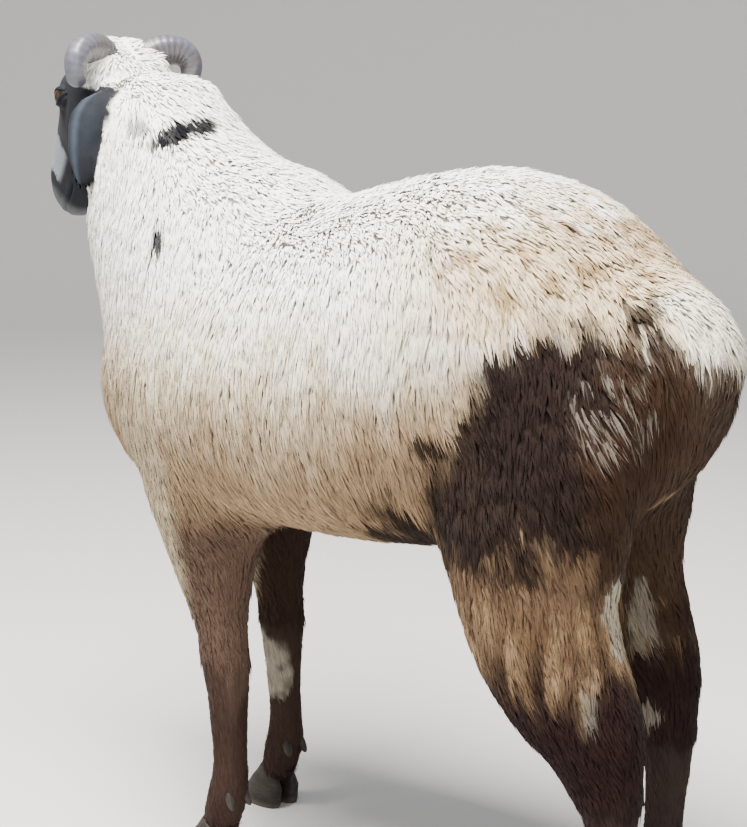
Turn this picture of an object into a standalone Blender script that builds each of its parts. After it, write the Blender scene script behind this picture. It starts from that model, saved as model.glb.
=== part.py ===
"""A standing young ram in half-grown fleece, life size, as a museum model.

The sheep faces -Y with its left side towards +X, and stands on z = 0. The body is modelled
whole, from swept trunk, neck, head, tail and legs that are fused and softened, and is then
parted into its named pieces with thin cuts. Horns, ears, eyes and the claws of the feet are
solids of their own that sit in sockets or under the legs with a small gap.

Every shape uses three body directions: side (+X, the sheep's left), ahead (-Y) and up (+Z).
"""

import math

import bmesh
import bpy
import numpy as np
from mathutils import Matrix, Vector

# ---- Driving sizes, in metres, all measured over the fleece -------------------------------
HIP_HEIGHT = 0.70
BODY_LENGTH = 0.735
BODY_WIDTH = 0.345
HEAD_LENGTH = 0.218

# Room between two pieces: at a thin cut, round a socketed piece, and where an ear or a horn
# passes the neck.
GAP = 0.0004
SOCKET_GAP = 0.0008
NECK_CLEARANCE = 0.002

# ---- Stance -------------------------------------------------------------------------------
RUMP_AHEAD = -0.30
FRONT_FOOT_SPREAD = 0.073
HIND_FOOT_SPREAD = 0.087
HEAD_AT = (-0.006, 0.470, 0.772)
HEAD_PITCH = math.radians(46)
HEAD_YAW = math.radians(5)

# How far ahead of the tables' stance each leg is set down.
LEG_STEPS = {"front_left": 0.0, "front_right": 0.08, "hind_left": 0.0, "hind_right": 0.072}

# Where the hair of each foot ends and its claws begin, above the floor.
CORONET = 0.034

# ---- Fineness -----------------------------------------------------------------------------
BODY_VOXEL = 0.007
HEAD_VOXEL = 0.0035
TAIL_VOXEL = 0.004
BODY_FACES = 2720
HEAD_FACES = 860
TAIL_FACES = 300

# Trunk: share of the length from rump to breast, then top and bottom as shares of the hip
# height, half width as a share of the half body width, and how low the widest level lies.
TRUNK = [
    (0.00, 0.790, 0.700, 0.26, 0.00),
    (0.04, 0.840, 0.640, 0.48, 0.00),
    (0.10, 0.900, 0.590, 0.69, 0.02),
    (0.19, 0.972, 0.552, 0.86, 0.05),
    (0.29, 1.000, 0.525, 0.96, 0.10),
    (0.40, 0.992, 0.508, 1.00, 0.14),
    (0.52, 0.966, 0.500, 0.99, 0.16),
    (0.64, 0.948, 0.500, 0.95, 0.14),
    (0.76, 0.930, 0.502, 0.86, 0.10),
    (0.88, 0.880, 0.515, 0.70, 0.04),
    (0.96, 0.800, 0.555, 0.50, 0.00),
    (1.00, 0.740, 0.620, 0.30, 0.00),
]

# Neck: side, ahead, up of its middle line, then half depth and half width.
NECK = [
    (0.000, 0.190, 0.505, 0.160, 0.138),
    (0.000, 0.282, 0.560, 0.164, 0.130),
    (0.000, 0.350, 0.624, 0.129, 0.110),
    (-0.002, 0.402, 0.697, 0.097, 0.088),
    (-0.004, 0.440, 0.762, 0.083, 0.078),
]

# Head: share of its length from the back of the skull to the lips, then the forehead line,
# the throat line and the half width, all as shares of the head's length.
HEAD = [
    (0.00, 0.170, -0.120, 0.145),
    (0.08, 0.250, -0.215, 0.235),
    (0.20, 0.268, -0.285, 0.258),
    (0.34, 0.240, -0.310, 0.254),
    (0.48, 0.244, -0.280, 0.222),
    (0.62, 0.236, -0.218, 0.176),
    (0.76, 0.206, -0.178, 0.150),
    (0.88, 0.156, -0.160, 0.138),
    (0.96, 0.075, -0.138, 0.110),
    (1.00, -0.010, -0.090, 0.060),
]

# Tail: side, ahead, up, half depth, half width.
TAIL = [
    (0.0, -0.160, 0.575, 0.028, 0.044),
    (0.0, -0.230, 0.588, 0.036, 0.052),
    (0.0, -0.276, 0.570, 0.036, 0.052),
    (0.0, -0.304, 0.540, 0.029, 0.043),
    (0.0, -0.318, 0.518, 0.016, 0.024),
]

# Legs: ahead and up of the middle line from the body down to the coronet, with the half
# depth and half width, and the share of the foot's spread that the line has reached.
FRONT_LEG = [
    (0.235, 0.500, 0.080, 0.040, 0.86),
    (0.240, 0.400, 0.085, 0.062, 1.00),
    (0.240, 0.340, 0.062, 0.052, 1.00),
    (0.234, 0.290, 0.044, 0.040, 1.00),
    (0.226, 0.240, 0.030, 0.029, 0.99),
    (0.222, 0.205, 0.0265, 0.0265, 0.98),
    (0.219, 0.150, 0.0215, 0.0215, 0.98),
    (0.217, 0.105, 0.0205, 0.0205, 0.98),
    (0.219, 0.078, 0.024, 0.024, 1.00),
    (0.228, 0.050, 0.022, 0.023, 1.00),
    (0.236, 0.028, 0.023, 0.023, 1.00),
]
HIND_LEG = [
    (-0.160, 0.570, 0.080, 0.036, 0.80),
    (-0.172, 0.510, 0.104, 0.054, 0.94),
    (-0.184, 0.450, 0.112, 0.066, 1.02),
    (-0.194, 0.400, 0.090, 0.068, 1.04),
    (-0.198, 0.345, 0.074, 0.060, 1.05),
    (-0.220, 0.300, 0.067, 0.055, 1.03),
    (-0.250, 0.260, 0.055, 0.046, 1.00),
    (-0.266, 0.225, 0.040, 0.036, 0.98),
    (-0.274, 0.190, 0.026, 0.025, 0.97),
    (-0.272, 0.135, 0.021, 0.021, 0.97),
    (-0.269, 0.095, 0.021, 0.021, 0.98),
    (-0.264, 0.070, 0.025, 0.025, 1.00),
    (-0.254, 0.047, 0.023, 0.023, 1.00),
    (-0.246, 0.028, 0.023, 0.023, 1.00),
]
# Eyeball and the swelling round it, on the head's axes in shares of its length, with radii.
EYE_AT = (0.228, 0.17, 0.095)
EYE_RADIUS = 0.0125
ORBIT_AT = (0.180, 0.165, 0.10)
ORBIT_RADII = (0.019, 0.030, 0.026)

# Horn: control points of its middle line from the poll to the tip, in metres along the
# head's own side, nose and brow axes, its radius at the root and the share of it lost at the tip.
HORN_LINE = [
    (0.022, -0.014, 0.022),
    (0.044, -0.040, 0.028),
    (0.086, -0.042, 0.012),
    (0.066, -0.008, -0.012),
]
HORN_RADIUS = 0.0180
HORN_TAPER = 0.42

# Ear: root on the same axes, then its size.
EAR_ROOT = (0.051, -0.030, -0.046)
EAR_LENGTH = 0.105
EAR_WIDTH = 0.052
EAR_THICKNESS = 0.005


# Where the thin cuts run: the plane between neck and trunk, and the bells over the legs,
# each bell by the side, ahead and up of its middle, its radii and the length of its skirt.
NECK_CUT_AT = (0, 0.300, 0.600)
NECK_CUT_FACES = (0, 0.76, 0.65)
NECK_CUT_SIZE = 0.6
FRONT_BELL = ((0.088, 0.240, 0.310), (0.076, 0.088, 0.115), 0.24)
HIND_BELL = ((0.100, -0.190, 0.340), (0.090, 0.130, 0.150), 0.27)
FRONT_BELL_STEP = 0.8
BELL_SIDES = 20
BELL_STEPS = 5

# A claw: its size, and for each level above the sole its share of that and its setback.
CLAW_LENGTH = 0.054
CLAW_WIDTH = 0.0225
CLAW_LEVELS = [(0, 1, 0), (0.006, 1.02, 0.0005), (0.020, 0.92, 0.0045), (CORONET, 0.80, 0.0105)]
CLAW_AHEAD = 0.010

COLOURS = {
    "fleece": ((0.80, 0.76, 0.66), 0.95),
    "dark_hair": ((0.035, 0.032, 0.036), 0.8),
    "horn": ((0.42, 0.39, 0.40), 0.55),
    "hoof": ((0.09, 0.075, 0.065), 0.5),
    "eye": ((0.05, 0.03, 0.015), 0.1),
}


def spot(side, ahead, up):
    """The point at those distances to the sheep's left, ahead of it and above the floor."""
    return Vector((side, -ahead, up))


def material(slot):
    """The shared material of one finish."""
    found = bpy.data.materials.get(slot)
    if found:
        return found
    colour, roughness = COLOURS[slot]
    made = bpy.data.materials.new(slot)
    made.use_nodes = True
    shader = made.node_tree.nodes["Principled BSDF"]
    shader.inputs["Base Color"].default_value = (*colour, 1)
    shader.inputs["Roughness"].default_value = roughness
    shader.inputs["Metallic"].default_value = 0
    return made


def smooth_rows(table, count):
    """The table's rows, refined to count rows on smooth curves that keep its own points."""
    table = np.array(table, float)
    knots = np.arange(len(table))
    slopes = np.gradient(table, axis=0)
    at = np.linspace(0, len(table) - 1, count)
    low = np.minimum(at.astype(int), len(table) - 2)
    t = (at - knots[low])[:, None]
    a, b, sa, sb = table[low], table[low + 1], slopes[low], slopes[low + 1]
    return (
        a * (2 * t**3 - 3 * t**2 + 1)
        + sa * (t**3 - 2 * t**2 + t)
        + b * (3 * t**2 - 2 * t**3)
        + sb * (t**3 - t**2)
    )


def new_object(name, mesh):
    made = bpy.data.objects.new(name, mesh)
    bpy.context.scene.collection.objects.link(made)
    return made


def loft(name, rings):
    """A closed mesh through rings of points that all have the same count."""
    bm = bmesh.new()
    loops = [[bm.verts.new(p) for p in ring] for ring in rings]
    count = len(loops[0])
    for first, second in zip(loops, loops[1:]):
        for i in range(count):
            j = (i + 1) % count
            bm.faces.new((first[i], first[j], second[j], second[i]))
    bm.faces.new(list(reversed(loops[0])))
    bm.faces.new(loops[-1])
    bmesh.ops.recalc_face_normals(bm, faces=bm.faces)
    mesh = bpy.data.meshes.new(name)
    bm.to_mesh(mesh)
    bm.free()
    return new_object(name, mesh)


def superellipse(angle, power):
    """Cosine and sine drawn out towards a rounded square as power grows over 2."""
    c, s = math.cos(angle), math.sin(angle)
    return (
        math.copysign(abs(c) ** (2 / power), c),
        math.copysign(abs(s) ** (2 / power), s),
    )


def sweep(name, rows, sides=24, power=2.0):
    """A tube along rows of (side, ahead, up, half depth, half width), square to its line."""
    line = [spot(*row[:3]) for row in rows]
    rings = []
    for i, row in enumerate(rows):
        along = (line[min(i + 1, len(line) - 1)] - line[max(i - 1, 0)]).normalized()
        across = (Vector((1, 0, 0)) - along * along.x).normalized()
        depth = along.cross(across)
        ring = []
        for k in range(sides):
            c, s = superellipse(2 * math.pi * k / sides, power)
            ring.append(line[i] + across * (c * row[4]) + depth * (s * row[3]))
        rings.append(ring)
    return loft(name, rings)


def trunk_blank():
    rings = []
    for along, top, bottom, width, low in smooth_rows(TRUNK, 48):
        ahead = RUMP_AHEAD + along * BODY_LENGTH
        middle = HIP_HEIGHT * (top + bottom) / 2
        half = HIP_HEIGHT * (top - bottom) / 2
        ring = []
        for k in range(48):
            c, s = superellipse(2 * math.pi * k / 48, 2.25)
            side = BODY_WIDTH / 2 * width * c * (1 - low * s - 0.08 * max(s, 0) ** 2)
            ring.append(spot(side, ahead, middle + half * s))
        rings.append(ring)
    return loft("trunk_blank", rings)


def head_frame():
    """Carries the head's own axes (side, towards the lips, towards the forehead) into place."""
    nose = Vector((0, -math.cos(HEAD_PITCH), -math.sin(HEAD_PITCH)))
    brow = Vector((0, -math.sin(HEAD_PITCH), math.cos(HEAD_PITCH)))
    side = Vector((1, 0, 0))
    turn = Matrix.Rotation(-HEAD_YAW, 3, "Z")
    axes = Matrix((turn @ side, turn @ nose, turn @ brow)).transposed().to_4x4()
    return Matrix.Translation(spot(*HEAD_AT)) @ axes


def in_head(frame, side, nose, brow):
    """A point of the head, given in shares of the head's length."""
    return frame @ (Vector((side, nose, brow)) * HEAD_LENGTH)


def head_blank(frame):
    rings = []
    for nose, top, bottom, width in smooth_rows(HEAD, 40):
        middle, half = (top + bottom) / 2, (top - bottom) / 2
        ring = []
        for k in range(36):
            c, s = superellipse(2 * math.pi * k / 36, 2.15)
            # The jaw side narrows towards the throat, and the forehead is broad.
            side = width * c * (1 + 0.22 * s)
            ring.append(in_head(frame, side, nose - 0.17, middle + half * s))
        rings.append(ring)
    return loft("head_blank", rings)


def ball(name, centre, radii, frame=None):
    """A UV sphere stretched to three radii, in the head's frame if one is given."""
    bm = bmesh.new()
    bmesh.ops.create_uvsphere(bm, u_segments=12, v_segments=8, radius=1)
    mesh = bpy.data.meshes.new(name)
    bm.to_mesh(mesh)
    bm.free()
    made = new_object(name, mesh)
    axes = frame.to_3x3().to_4x4() if frame else Matrix.Identity(4)
    stretch = Matrix.Diagonal((*radii, 1))
    mesh.transform(Matrix.Translation(centre) @ axes @ stretch)
    return made


def leg_blank(name, table, hand, spread, step):
    rows = []
    for ahead, up, depth, width, out in smooth_rows(table, 40):
        rows.append((hand * spread * out, ahead + step, up, depth, width))
    return sweep(name, rows)


def baked(obj):
    """A new object with obj's modifiers applied; obj itself is removed."""
    bpy.context.view_layer.update()
    graph = bpy.context.evaluated_depsgraph_get()
    mesh = bpy.data.meshes.new_from_object(obj.evaluated_get(graph))
    mesh.transform(obj.matrix_world)
    name = obj.name
    bpy.data.objects.remove(obj)
    made = new_object(name, mesh)
    made.name = name
    return made


def joined(name, objects):
    """One mesh object with the loose shapes of several."""
    bm = bmesh.new()
    for obj in objects:
        bm.from_mesh(obj.data)
    mesh = bpy.data.meshes.new(name)
    bm.to_mesh(mesh)
    bm.free()
    return new_object(name, mesh)


def fused(name, blanks, voxel, rounds, faces):
    """The blanks as one softened closed skin of about that many triangles."""
    whole = joined(name, blanks)
    remesh = whole.modifiers.new("fuse", "REMESH")
    remesh.mode = "VOXEL"
    remesh.voxel_size = voxel
    whole = baked(whole)
    # The feet and lower legs are slim, so they are softened less than the body.
    group = whole.vertex_groups.new(name="soften")
    for v in whole.data.vertices:
        weight = min(1.0, max(0.15, (v.co.z - 0.20) / 0.15))
        group.add([v.index], weight, "REPLACE")
    soften = whole.modifiers.new("soften", "SMOOTH")
    soften.factor = 0.6
    soften.iterations = rounds
    soften.vertex_group = "soften"
    whole = baked(whole)
    thin = whole.modifiers.new("thin", "DECIMATE")
    whole.data.calc_loop_triangles()
    thin.ratio = faces / len(whole.data.loop_triangles)
    return baked(whole)


def boolean(obj, cutter, operation="DIFFERENCE"):
    """obj with the cutter taken away, or kept only inside it; the cutter is removed."""
    cut = obj.modifiers.new("cut", "BOOLEAN")
    cut.operation = operation
    cut.solver = "EXACT"
    cut.object = cutter
    made = baked(obj)
    bpy.data.objects.remove(cutter)
    return made


def slab(centre, normal, size, thickness=GAP):
    """A thin square plate, for parting two pieces."""
    bm = bmesh.new()
    bmesh.ops.create_cube(bm, size=1)
    mesh = bpy.data.meshes.new("slab")
    bm.to_mesh(mesh)
    bm.free()
    turn = Vector(normal).to_track_quat("Z", "Y").to_matrix().to_4x4()
    mesh.transform(
        Matrix.Translation(centre) @ turn @ Matrix.Diagonal((size, size, thickness, 1))
    )
    return new_object("slab", mesh)


def half_space(point, normal, size=3.0):
    """A big block on the side of a plane that its normal points to."""
    normal = Vector(normal).normalized()
    return slab(Vector(point) + normal * size / 2, normal, size, size)


def dome(centre, radii, skirt):
    """A thin bell open below, of side, ahead and up radii, for parting a leg."""
    sides, steps = BELL_SIDES, BELL_STEPS
    shells = []
    for grow in (0.0, GAP):
        rings = []
        for k in range(1, steps + 1):
            a = math.pi / 2 * k / steps
            rings.append((math.sin(a), math.cos(a)))
        shell = []
        for wide, high in rings:
            shell.append(
                [
                    centre
                    + Vector(
                        (
                            (radii[0] + grow) * wide * math.cos(t),
                            (radii[1] + grow) * wide * math.sin(t),
                            (radii[2] + grow) * high,
                        )
                    )
                    for t in (2 * math.pi * i / sides for i in range(sides))
                ]
            )
        shell.append([p - Vector((0, 0, skirt)) for p in shell[-1]])
        shells.append(shell)
    bm = bmesh.new()
    made = [[[bm.verts.new(p) for p in ring] for ring in shell] for shell in shells]
    for shell, height in zip(made, (radii[2], radii[2] + GAP)):
        apex = bm.verts.new(centre + Vector((0, 0, height)))
        for i in range(sides):
            bm.faces.new((apex, shell[0][i], shell[0][(i + 1) % sides]))
        for first, second in zip(shell, shell[1:]):
            for i in range(sides):
                j = (i + 1) % sides
                bm.faces.new((first[i], first[j], second[j], second[i]))
    inner, outer = made[0][-1], made[1][-1]
    for i in range(sides):
        j = (i + 1) % sides
        bm.faces.new((inner[i], inner[j], outer[j], outer[i]))
    bmesh.ops.recalc_face_normals(bm, faces=bm.faces)
    mesh = bpy.data.meshes.new("dome")
    bm.to_mesh(mesh)
    bm.free()
    return new_object("dome", mesh)


def islands(obj):
    """The loose bodies of a mesh, each as its own object, largest first."""
    bm = bmesh.new()
    bm.from_mesh(obj.data)
    bmesh.ops.remove_doubles(bm, verts=bm.verts, dist=1e-6)
    left, groups = set(bm.verts), []
    while left:
        seed = left.pop()
        group, edge = {seed}, [seed]
        while edge:
            for link in edge.pop().link_edges:
                for v in link.verts:
                    if v in left:
                        left.remove(v)
                        group.add(v)
                        edge.append(v)
        groups.append(group)
    made = []
    for group in sorted(groups, key=len, reverse=True):
        part = bmesh.new()
        copies = {v: part.verts.new(v.co) for v in group}
        for face in bm.faces:
            if face.verts[0] in group:
                part.faces.new([copies[v] for v in face.verts])
        mesh = bpy.data.meshes.new("piece")
        part.to_mesh(mesh)
        part.free()
        made.append(new_object("piece", mesh))
    bm.free()
    bpy.data.objects.remove(obj)
    return made


def volume_of(obj):
    bm = bmesh.new()
    bm.from_mesh(obj.data)
    volume = abs(bm.calc_volume())
    bm.free()
    return volume


def middle_of(obj):
    points = np.array([v.co for v in obj.data.vertices])
    return Vector((points.min(0) + points.max(0)) / 2)


def name_pieces(pieces, anchors):
    """Gives each anchor's name to the piece whose middle is nearest, and drops crumbs."""
    named = {}
    for piece in pieces:
        if volume_of(piece) < 1e-6:
            bpy.data.objects.remove(piece)
            continue
        name = min(anchors, key=lambda n: (middle_of(piece) - anchors[n]).length)
        if name in named:
            raise ValueError(f"two pieces are nearest to {name}")
        piece.name = name
        named[name] = piece
    return named


def grown(obj, by):
    """A copy of obj, larger by that much all round, for cutting its socket."""
    copy = new_object("socket", obj.data.copy())
    swell = copy.modifiers.new("swell", "DISPLACE")
    swell.strength = by
    swell.mid_level = 0
    return baked(copy)


def leg_anchors():
    """A point in the middle of each leg, for telling the parted pieces from one another."""
    anchors = {}
    for side, hand in (("left", 1), ("right", -1)):
        for end, ahead, spread in (
            ("front", 0.22, FRONT_FOOT_SPREAD),
            ("hind", -0.24, HIND_FOOT_SPREAD),
        ):
            step = LEG_STEPS[f"{end}_{side}"]
            anchors[f"leg_{end}_{side}"] = spot(hand * spread, ahead + step, 0.2)
    return anchors


def body_blanks():
    blanks = [
        trunk_blank(),
        sweep("neck_blank", smooth_rows(NECK, 24), sides=36),
    ]
    for side, hand in (("left", 1), ("right", -1)):
        for end, table, spread in (
            ("front", FRONT_LEG, FRONT_FOOT_SPREAD),
            ("hind", HIND_LEG, HIND_FOOT_SPREAD),
        ):
            step = LEG_STEPS[f"{end}_{side}"]
            blank = leg_blank(f"{end}_{side}", table, hand, spread, step)
            blanks.append(blank)
    return blanks


def head_blanks(frame):
    blanks = [head_blank(frame)]
    for hand in (1, -1):
        orbit = in_head(frame, hand * ORBIT_AT[0], *ORBIT_AT[1:])
        blanks.append(ball("orbit", orbit, ORBIT_RADII, frame))
    return blanks


def claw(name, centre, hand):
    """One claw of a foot: a wedge with a flat sole and a sloping toe, hand saying which side."""
    length, width = CLAW_LENGTH, CLAW_WIDTH
    rings = []
    for up, size, back in CLAW_LEVELS:
        ring = []
        for k in range(14):
            c, s = superellipse(2 * math.pi * k / 14, 2.3)
            # The toe is narrower than the heel, and each claw's inner wall is flatter.
            wide = width / 2 * size * c * (1 - 0.28 * max(s, 0) ** 2)
            wide *= 1.0 if c * hand > 0 else 0.92
            ring.append(centre + spot(wide + hand * width * 0.53, length / 2 * size * s - back, up))
        rings.append(ring)
    return loft(name, rings)


def bezier(points, t):
    """The point at t from 0 to 1 of the cubic curve with those four control points."""
    a, b, c, d = (Vector(p) for p in points)
    return a * (1 - t) ** 3 + b * (3 * t * (1 - t) ** 2) + c * (3 * t**2 * (1 - t)) + d * t**3


def horn(name, frame, hand):
    """A short horn that leaves the poll sideways and back, and curls down beside the ear."""
    rings = []
    count, sides = 12, 9
    mirrored = [(hand * x, y, z) for x, y, z in HORN_LINE]
    line = [frame @ bezier(mirrored, i / (count - 1)) for i in range(count)]
    for i, centre in enumerate(line):
        t = i / (count - 1)
        along = (line[min(i + 1, count - 1)] - line[max(i - 1, 0)]).normalized()
        across = along.cross(frame.to_3x3() @ Vector((0, 1, 0))).normalized()
        depth = along.cross(across)
        size = HORN_RADIUS * (1 - HORN_TAPER * t**1.6)
        if i == count - 1:
            size *= 0.55
        rings.append(
            [
                centre + across * (0.88 * size * math.cos(a)) + depth * (size * math.sin(a))
                for a in (2 * math.pi * k / sides for k in range(sides))
            ]
        )
    return loft(name, rings)


def ear(name, frame, hand):
    """A leaf-shaped drop ear, 5 mm thick, that leaves the head sideways and hangs."""
    turn = Matrix.Rotation(-HEAD_YAW, 3, "Z")
    out, ahead, down = turn @ Vector((hand, 0, 0)), turn @ Vector((0, -1, 0)), Vector((0, 0, -1))
    chord = (ahead * 0.75 + out * 0.66).normalized()
    point = frame @ Vector((hand * EAR_ROOT[0], *EAR_ROOT[1:]))
    count, across = 10, 5
    rings = []
    for i in range(count):
        s = i / (count - 1)
        bend = math.radians(12 + 68 * min(1, s * 2.2))
        line = out * math.cos(bend) + down * math.sin(bend)
        if i:
            point = point + line * (EAR_LENGTH / (count - 1))
        half = EAR_WIDTH / 2 * (0.36 + 0.64 * math.sin(math.pi / 2 * min(1, s * 2.2)))
        half *= (1 - s**3.2) ** 0.6 if i < count - 1 else 0
        half = max(half, 0.005)
        lie = (chord - line * chord.dot(line)).normalized()
        face = line.cross(lie).normalized()
        if face.dot(out - ahead) < 0:
            face = -face
        cup = [
            point + lie * (half * t) + face * (0.34 * half * (1 - t * t))
            for t in (2 * k / (across - 1) - 1 for k in range(across))
        ]
        outer = [p + face * (EAR_THICKNESS / 2) for p in cup]
        inner = [p - face * (EAR_THICKNESS / 2) for p in reversed(cup)]
        rings.append(outer + inner)
    return loft(name, rings)


def finish(obj, slot):
    obj.data.materials.clear()
    obj.data.materials.append(material(slot))
    obj.data.shade_smooth()
    obj.data.set_sharp_from_angle(angle=math.radians(50))


def main():
    for obj in list(bpy.data.objects):
        bpy.data.objects.remove(obj)
    frame = head_frame()

    # The head is fused on a finer grid than the body, and the neck is hollowed to hold it.
    blanks = body_blanks()
    heads = head_blanks(frame)
    body = fused("body", blanks, BODY_VOXEL, 12, BODY_FACES)
    head = fused("head", heads, HEAD_VOXEL, 6, HEAD_FACES)
    tail_core = sweep("tail_core", smooth_rows(TAIL, 16), sides=20)
    tail = fused("tail", [tail_core], TAIL_VOXEL, 4, TAIL_FACES)
    for blank in blanks + heads + [tail_core]:
        bpy.data.objects.remove(blank)
    body = boolean(body, grown(head, SOCKET_GAP))
    body = boolean(body, grown(tail, SOCKET_GAP))

    # Feet end flat at the coronet.
    body = boolean(body, half_space((0, 0, CORONET + GAP), (0, 0, -1)))

    # Thin cuts part the neck and the legs from the trunk.
    body = boolean(body, slab(spot(*NECK_CUT_AT), spot(*NECK_CUT_FACES), NECK_CUT_SIZE))
    for name in leg_anchors():
        hand = 1 if "left" in name else -1
        step = LEG_STEPS[name[4:]]
        if "front" in name:
            (side, ahead, up), radii, skirt = FRONT_BELL
            step *= FRONT_BELL_STEP
        else:
            (side, ahead, up), radii, skirt = HIND_BELL
        body = boolean(body, dome(spot(hand * side, ahead + step, up), radii, skirt))
    anchors = leg_anchors()
    anchors["trunk"] = spot(0, 0.05, 0.5)
    anchors["neck"] = spot(0, 0.40, 0.66)
    named = name_pieces(islands(body), anchors)
    named["tail"] = tail

    # Eyes, ears and horns each sit in a socket of the head.
    for side, hand in (("left", 1), ("right", -1)):
        eye = ball(f"eye_{side}", in_head(frame, hand * EYE_AT[0], *EYE_AT[1:]), (EYE_RADIUS,) * 3)
        for made, slot in (
            (eye, "eye"),
            (horn(f"horn_{side}", frame, hand), "horn"),
            (ear(f"ear_{side}", frame, hand), "dark_hair"),
        ):
            finish(made, slot)
            named[made.name] = made
            head = boolean(head, grown(made, SOCKET_GAP))
            named["neck"] = boolean(named["neck"], grown(made, NECK_CLEARANCE))
    pieces = islands(head)
    for crumb in pieces[1:]:
        bpy.data.objects.remove(crumb)
    pieces[0].name = "head"
    named["head"] = pieces[0]

    for name in ("trunk", "neck", "tail", "head", *leg_anchors()):
        finish(named[name], "fleece")

    # Two claws to each foot.
    for name in leg_anchors():
        hand = 1 if "left" in name else -1
        front = "front" in name
        table, spread = (FRONT_LEG, FRONT_FOOT_SPREAD) if front else (HIND_LEG, HIND_FOOT_SPREAD)
        ahead = table[-1][0] + LEG_STEPS[name[4:]] + CLAW_AHEAD
        for which, turn in (("outer", hand), ("inner", -hand)):
            made = claw(f"claw_{name[4:]}_{which}", spot(hand * spread, ahead, 0), turn)
            finish(made, "hoof")
            named[made.name] = made

    # The model stands with the middle of its box over the origin.
    points = np.array([v.co for o in named.values() for v in o.data.vertices])
    shift = -(points.min(0) + points.max(0)) / 2
    shift[2] = -points[:, 2].min()
    for obj in named.values():
        obj.data.transform(Matrix.Translation(shift))


main()
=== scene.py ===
# %% [markdown]
# # A shorn sheep, life size
# A museum model of a young ram a few weeks after shearing. The plain solids that carry the
# model are loaded first and stay fixed. One skin is then grown inside them, the coat is set on
# that skin lock by lock, and horns, eyes and hooves are made as pieces of their own.
# Directions: +X is the sheep's left, -Y is ahead of it, +Z is up, all in metres.

# %% Load the solids
import math

import bmesh
import bpy
import numpy as np
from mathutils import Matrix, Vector


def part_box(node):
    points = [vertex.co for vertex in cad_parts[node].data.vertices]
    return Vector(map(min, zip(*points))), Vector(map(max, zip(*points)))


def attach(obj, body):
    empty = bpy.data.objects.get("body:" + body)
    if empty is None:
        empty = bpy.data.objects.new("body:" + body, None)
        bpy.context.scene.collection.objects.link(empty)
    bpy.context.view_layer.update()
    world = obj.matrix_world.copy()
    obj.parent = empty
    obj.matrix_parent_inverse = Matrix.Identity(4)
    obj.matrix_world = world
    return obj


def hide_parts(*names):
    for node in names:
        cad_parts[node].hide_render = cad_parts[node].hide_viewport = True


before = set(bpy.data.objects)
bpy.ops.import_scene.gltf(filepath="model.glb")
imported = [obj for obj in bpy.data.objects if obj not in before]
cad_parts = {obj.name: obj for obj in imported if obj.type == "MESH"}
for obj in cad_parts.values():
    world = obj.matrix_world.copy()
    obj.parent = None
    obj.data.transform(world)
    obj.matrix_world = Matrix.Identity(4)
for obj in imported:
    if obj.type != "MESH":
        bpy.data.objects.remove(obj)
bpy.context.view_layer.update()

LEGS = ("front_left", "front_right", "hind_left", "hind_right")
HANDS = {"left": 1, "right": -1}

# %% [markdown]
# ## Small tools
# Shapes here are arrays of points, so the tools work on whole arrays: unit vectors, an eased
# step from 0 to 1, and a smooth noise. The noise takes no seed from the clock, so that the
# sheep is the same sheep every time.

# %% Array tools


def unit(v):
    """v / |v|, row by row."""
    return v / np.maximum(np.linalg.norm(v, axis=-1, keepdims=True), 1e-12)


def ease(low, high, x):
    """0 below low, 1 above high, and 3t^2 - 2t^3 between them."""
    t = np.clip((x - low) / (high - low), 0, 1)
    return t * t * (3 - 2 * t)


def bell(x, width):
    """exp(-(x / width)^2)."""
    return np.exp(-((x / width) ** 2))


def flat(v, normal):
    """The part of v that lies in the surface: v - n (v . n)."""
    return v - normal * (v * normal).sum(1, keepdims=True)


def hashed(cells, salt=0):
    """A number from 0 to 1 for every whole-number cell: the fraction of 43758.5 sin(k . cell)."""
    mixed = cells @ np.array([127.1, 311.7, 74.7]) + 17.3 * salt
    return np.abs(np.modf(np.sin(mixed) * 43758.5453)[0])


def noise(points, size, salt=0):
    """Smooth noise from 0 to 1 with bumps about size across: hashed lattice corners, eased between."""
    at = points / size
    cell = np.floor(at)
    t = at - cell
    t = t * t * (3 - 2 * t)
    total = np.zeros(len(points))
    for corner in np.ndindex(2, 2, 2):
        share = np.prod(np.where(corner, t, 1 - t), axis=1)
        total += share * hashed(cell + corner, salt)
    return total


def clouds(points, size, salt=0):
    """Two sizes of noise together, the finer one at half the strength."""
    return (noise(points, size, salt) * 2 + noise(points, size / 2.3, salt + 1)) / 3


print("ease from 0 to 1 in quarters:", ease(0, 1, np.linspace(0, 1, 5)).round(3))

# %% [markdown]
# ## From arrays to meshes and back
# foreach_set and foreach_get carry whole arrays into and out of a mesh. A loop over vertices
# would take minutes for a coat of a million faces.

# %% Mesh tools


def read_mesh(mesh):
    """The points of a mesh and its faces cut into triangles."""
    mesh.calc_loop_triangles()
    points = np.empty(len(mesh.vertices) * 3, np.float32)
    mesh.vertices.foreach_get("co", points)
    faces = np.empty(len(mesh.loop_triangles) * 3, np.int32)
    mesh.loop_triangles.foreach_get("vertices", faces)
    return points.reshape(-1, 3).astype(float), faces.reshape(-1, 3)


def new_piece(name, points, faces, material=None):
    """A smooth-shaded object at the origin, from points and a (count, 3 or 4) array of faces."""
    mesh = bpy.data.meshes.new(name)
    mesh.vertices.add(len(points))
    mesh.vertices.foreach_set("co", np.asarray(points, np.float32).ravel())
    count, sides = faces.shape
    mesh.loops.add(count * sides)
    mesh.loops.foreach_set("vertex_index", faces.astype(np.int32).ravel())
    mesh.polygons.add(count)
    mesh.polygons.foreach_set("loop_start", np.arange(0, count * sides, sides, dtype=np.int32))
    mesh.update(calc_edges=True)
    mesh.shade_smooth()
    if material:
        mesh.materials.append(material)
    piece = bpy.data.objects.new(name, mesh)
    bpy.context.scene.collection.objects.link(piece)
    return piece


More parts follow.
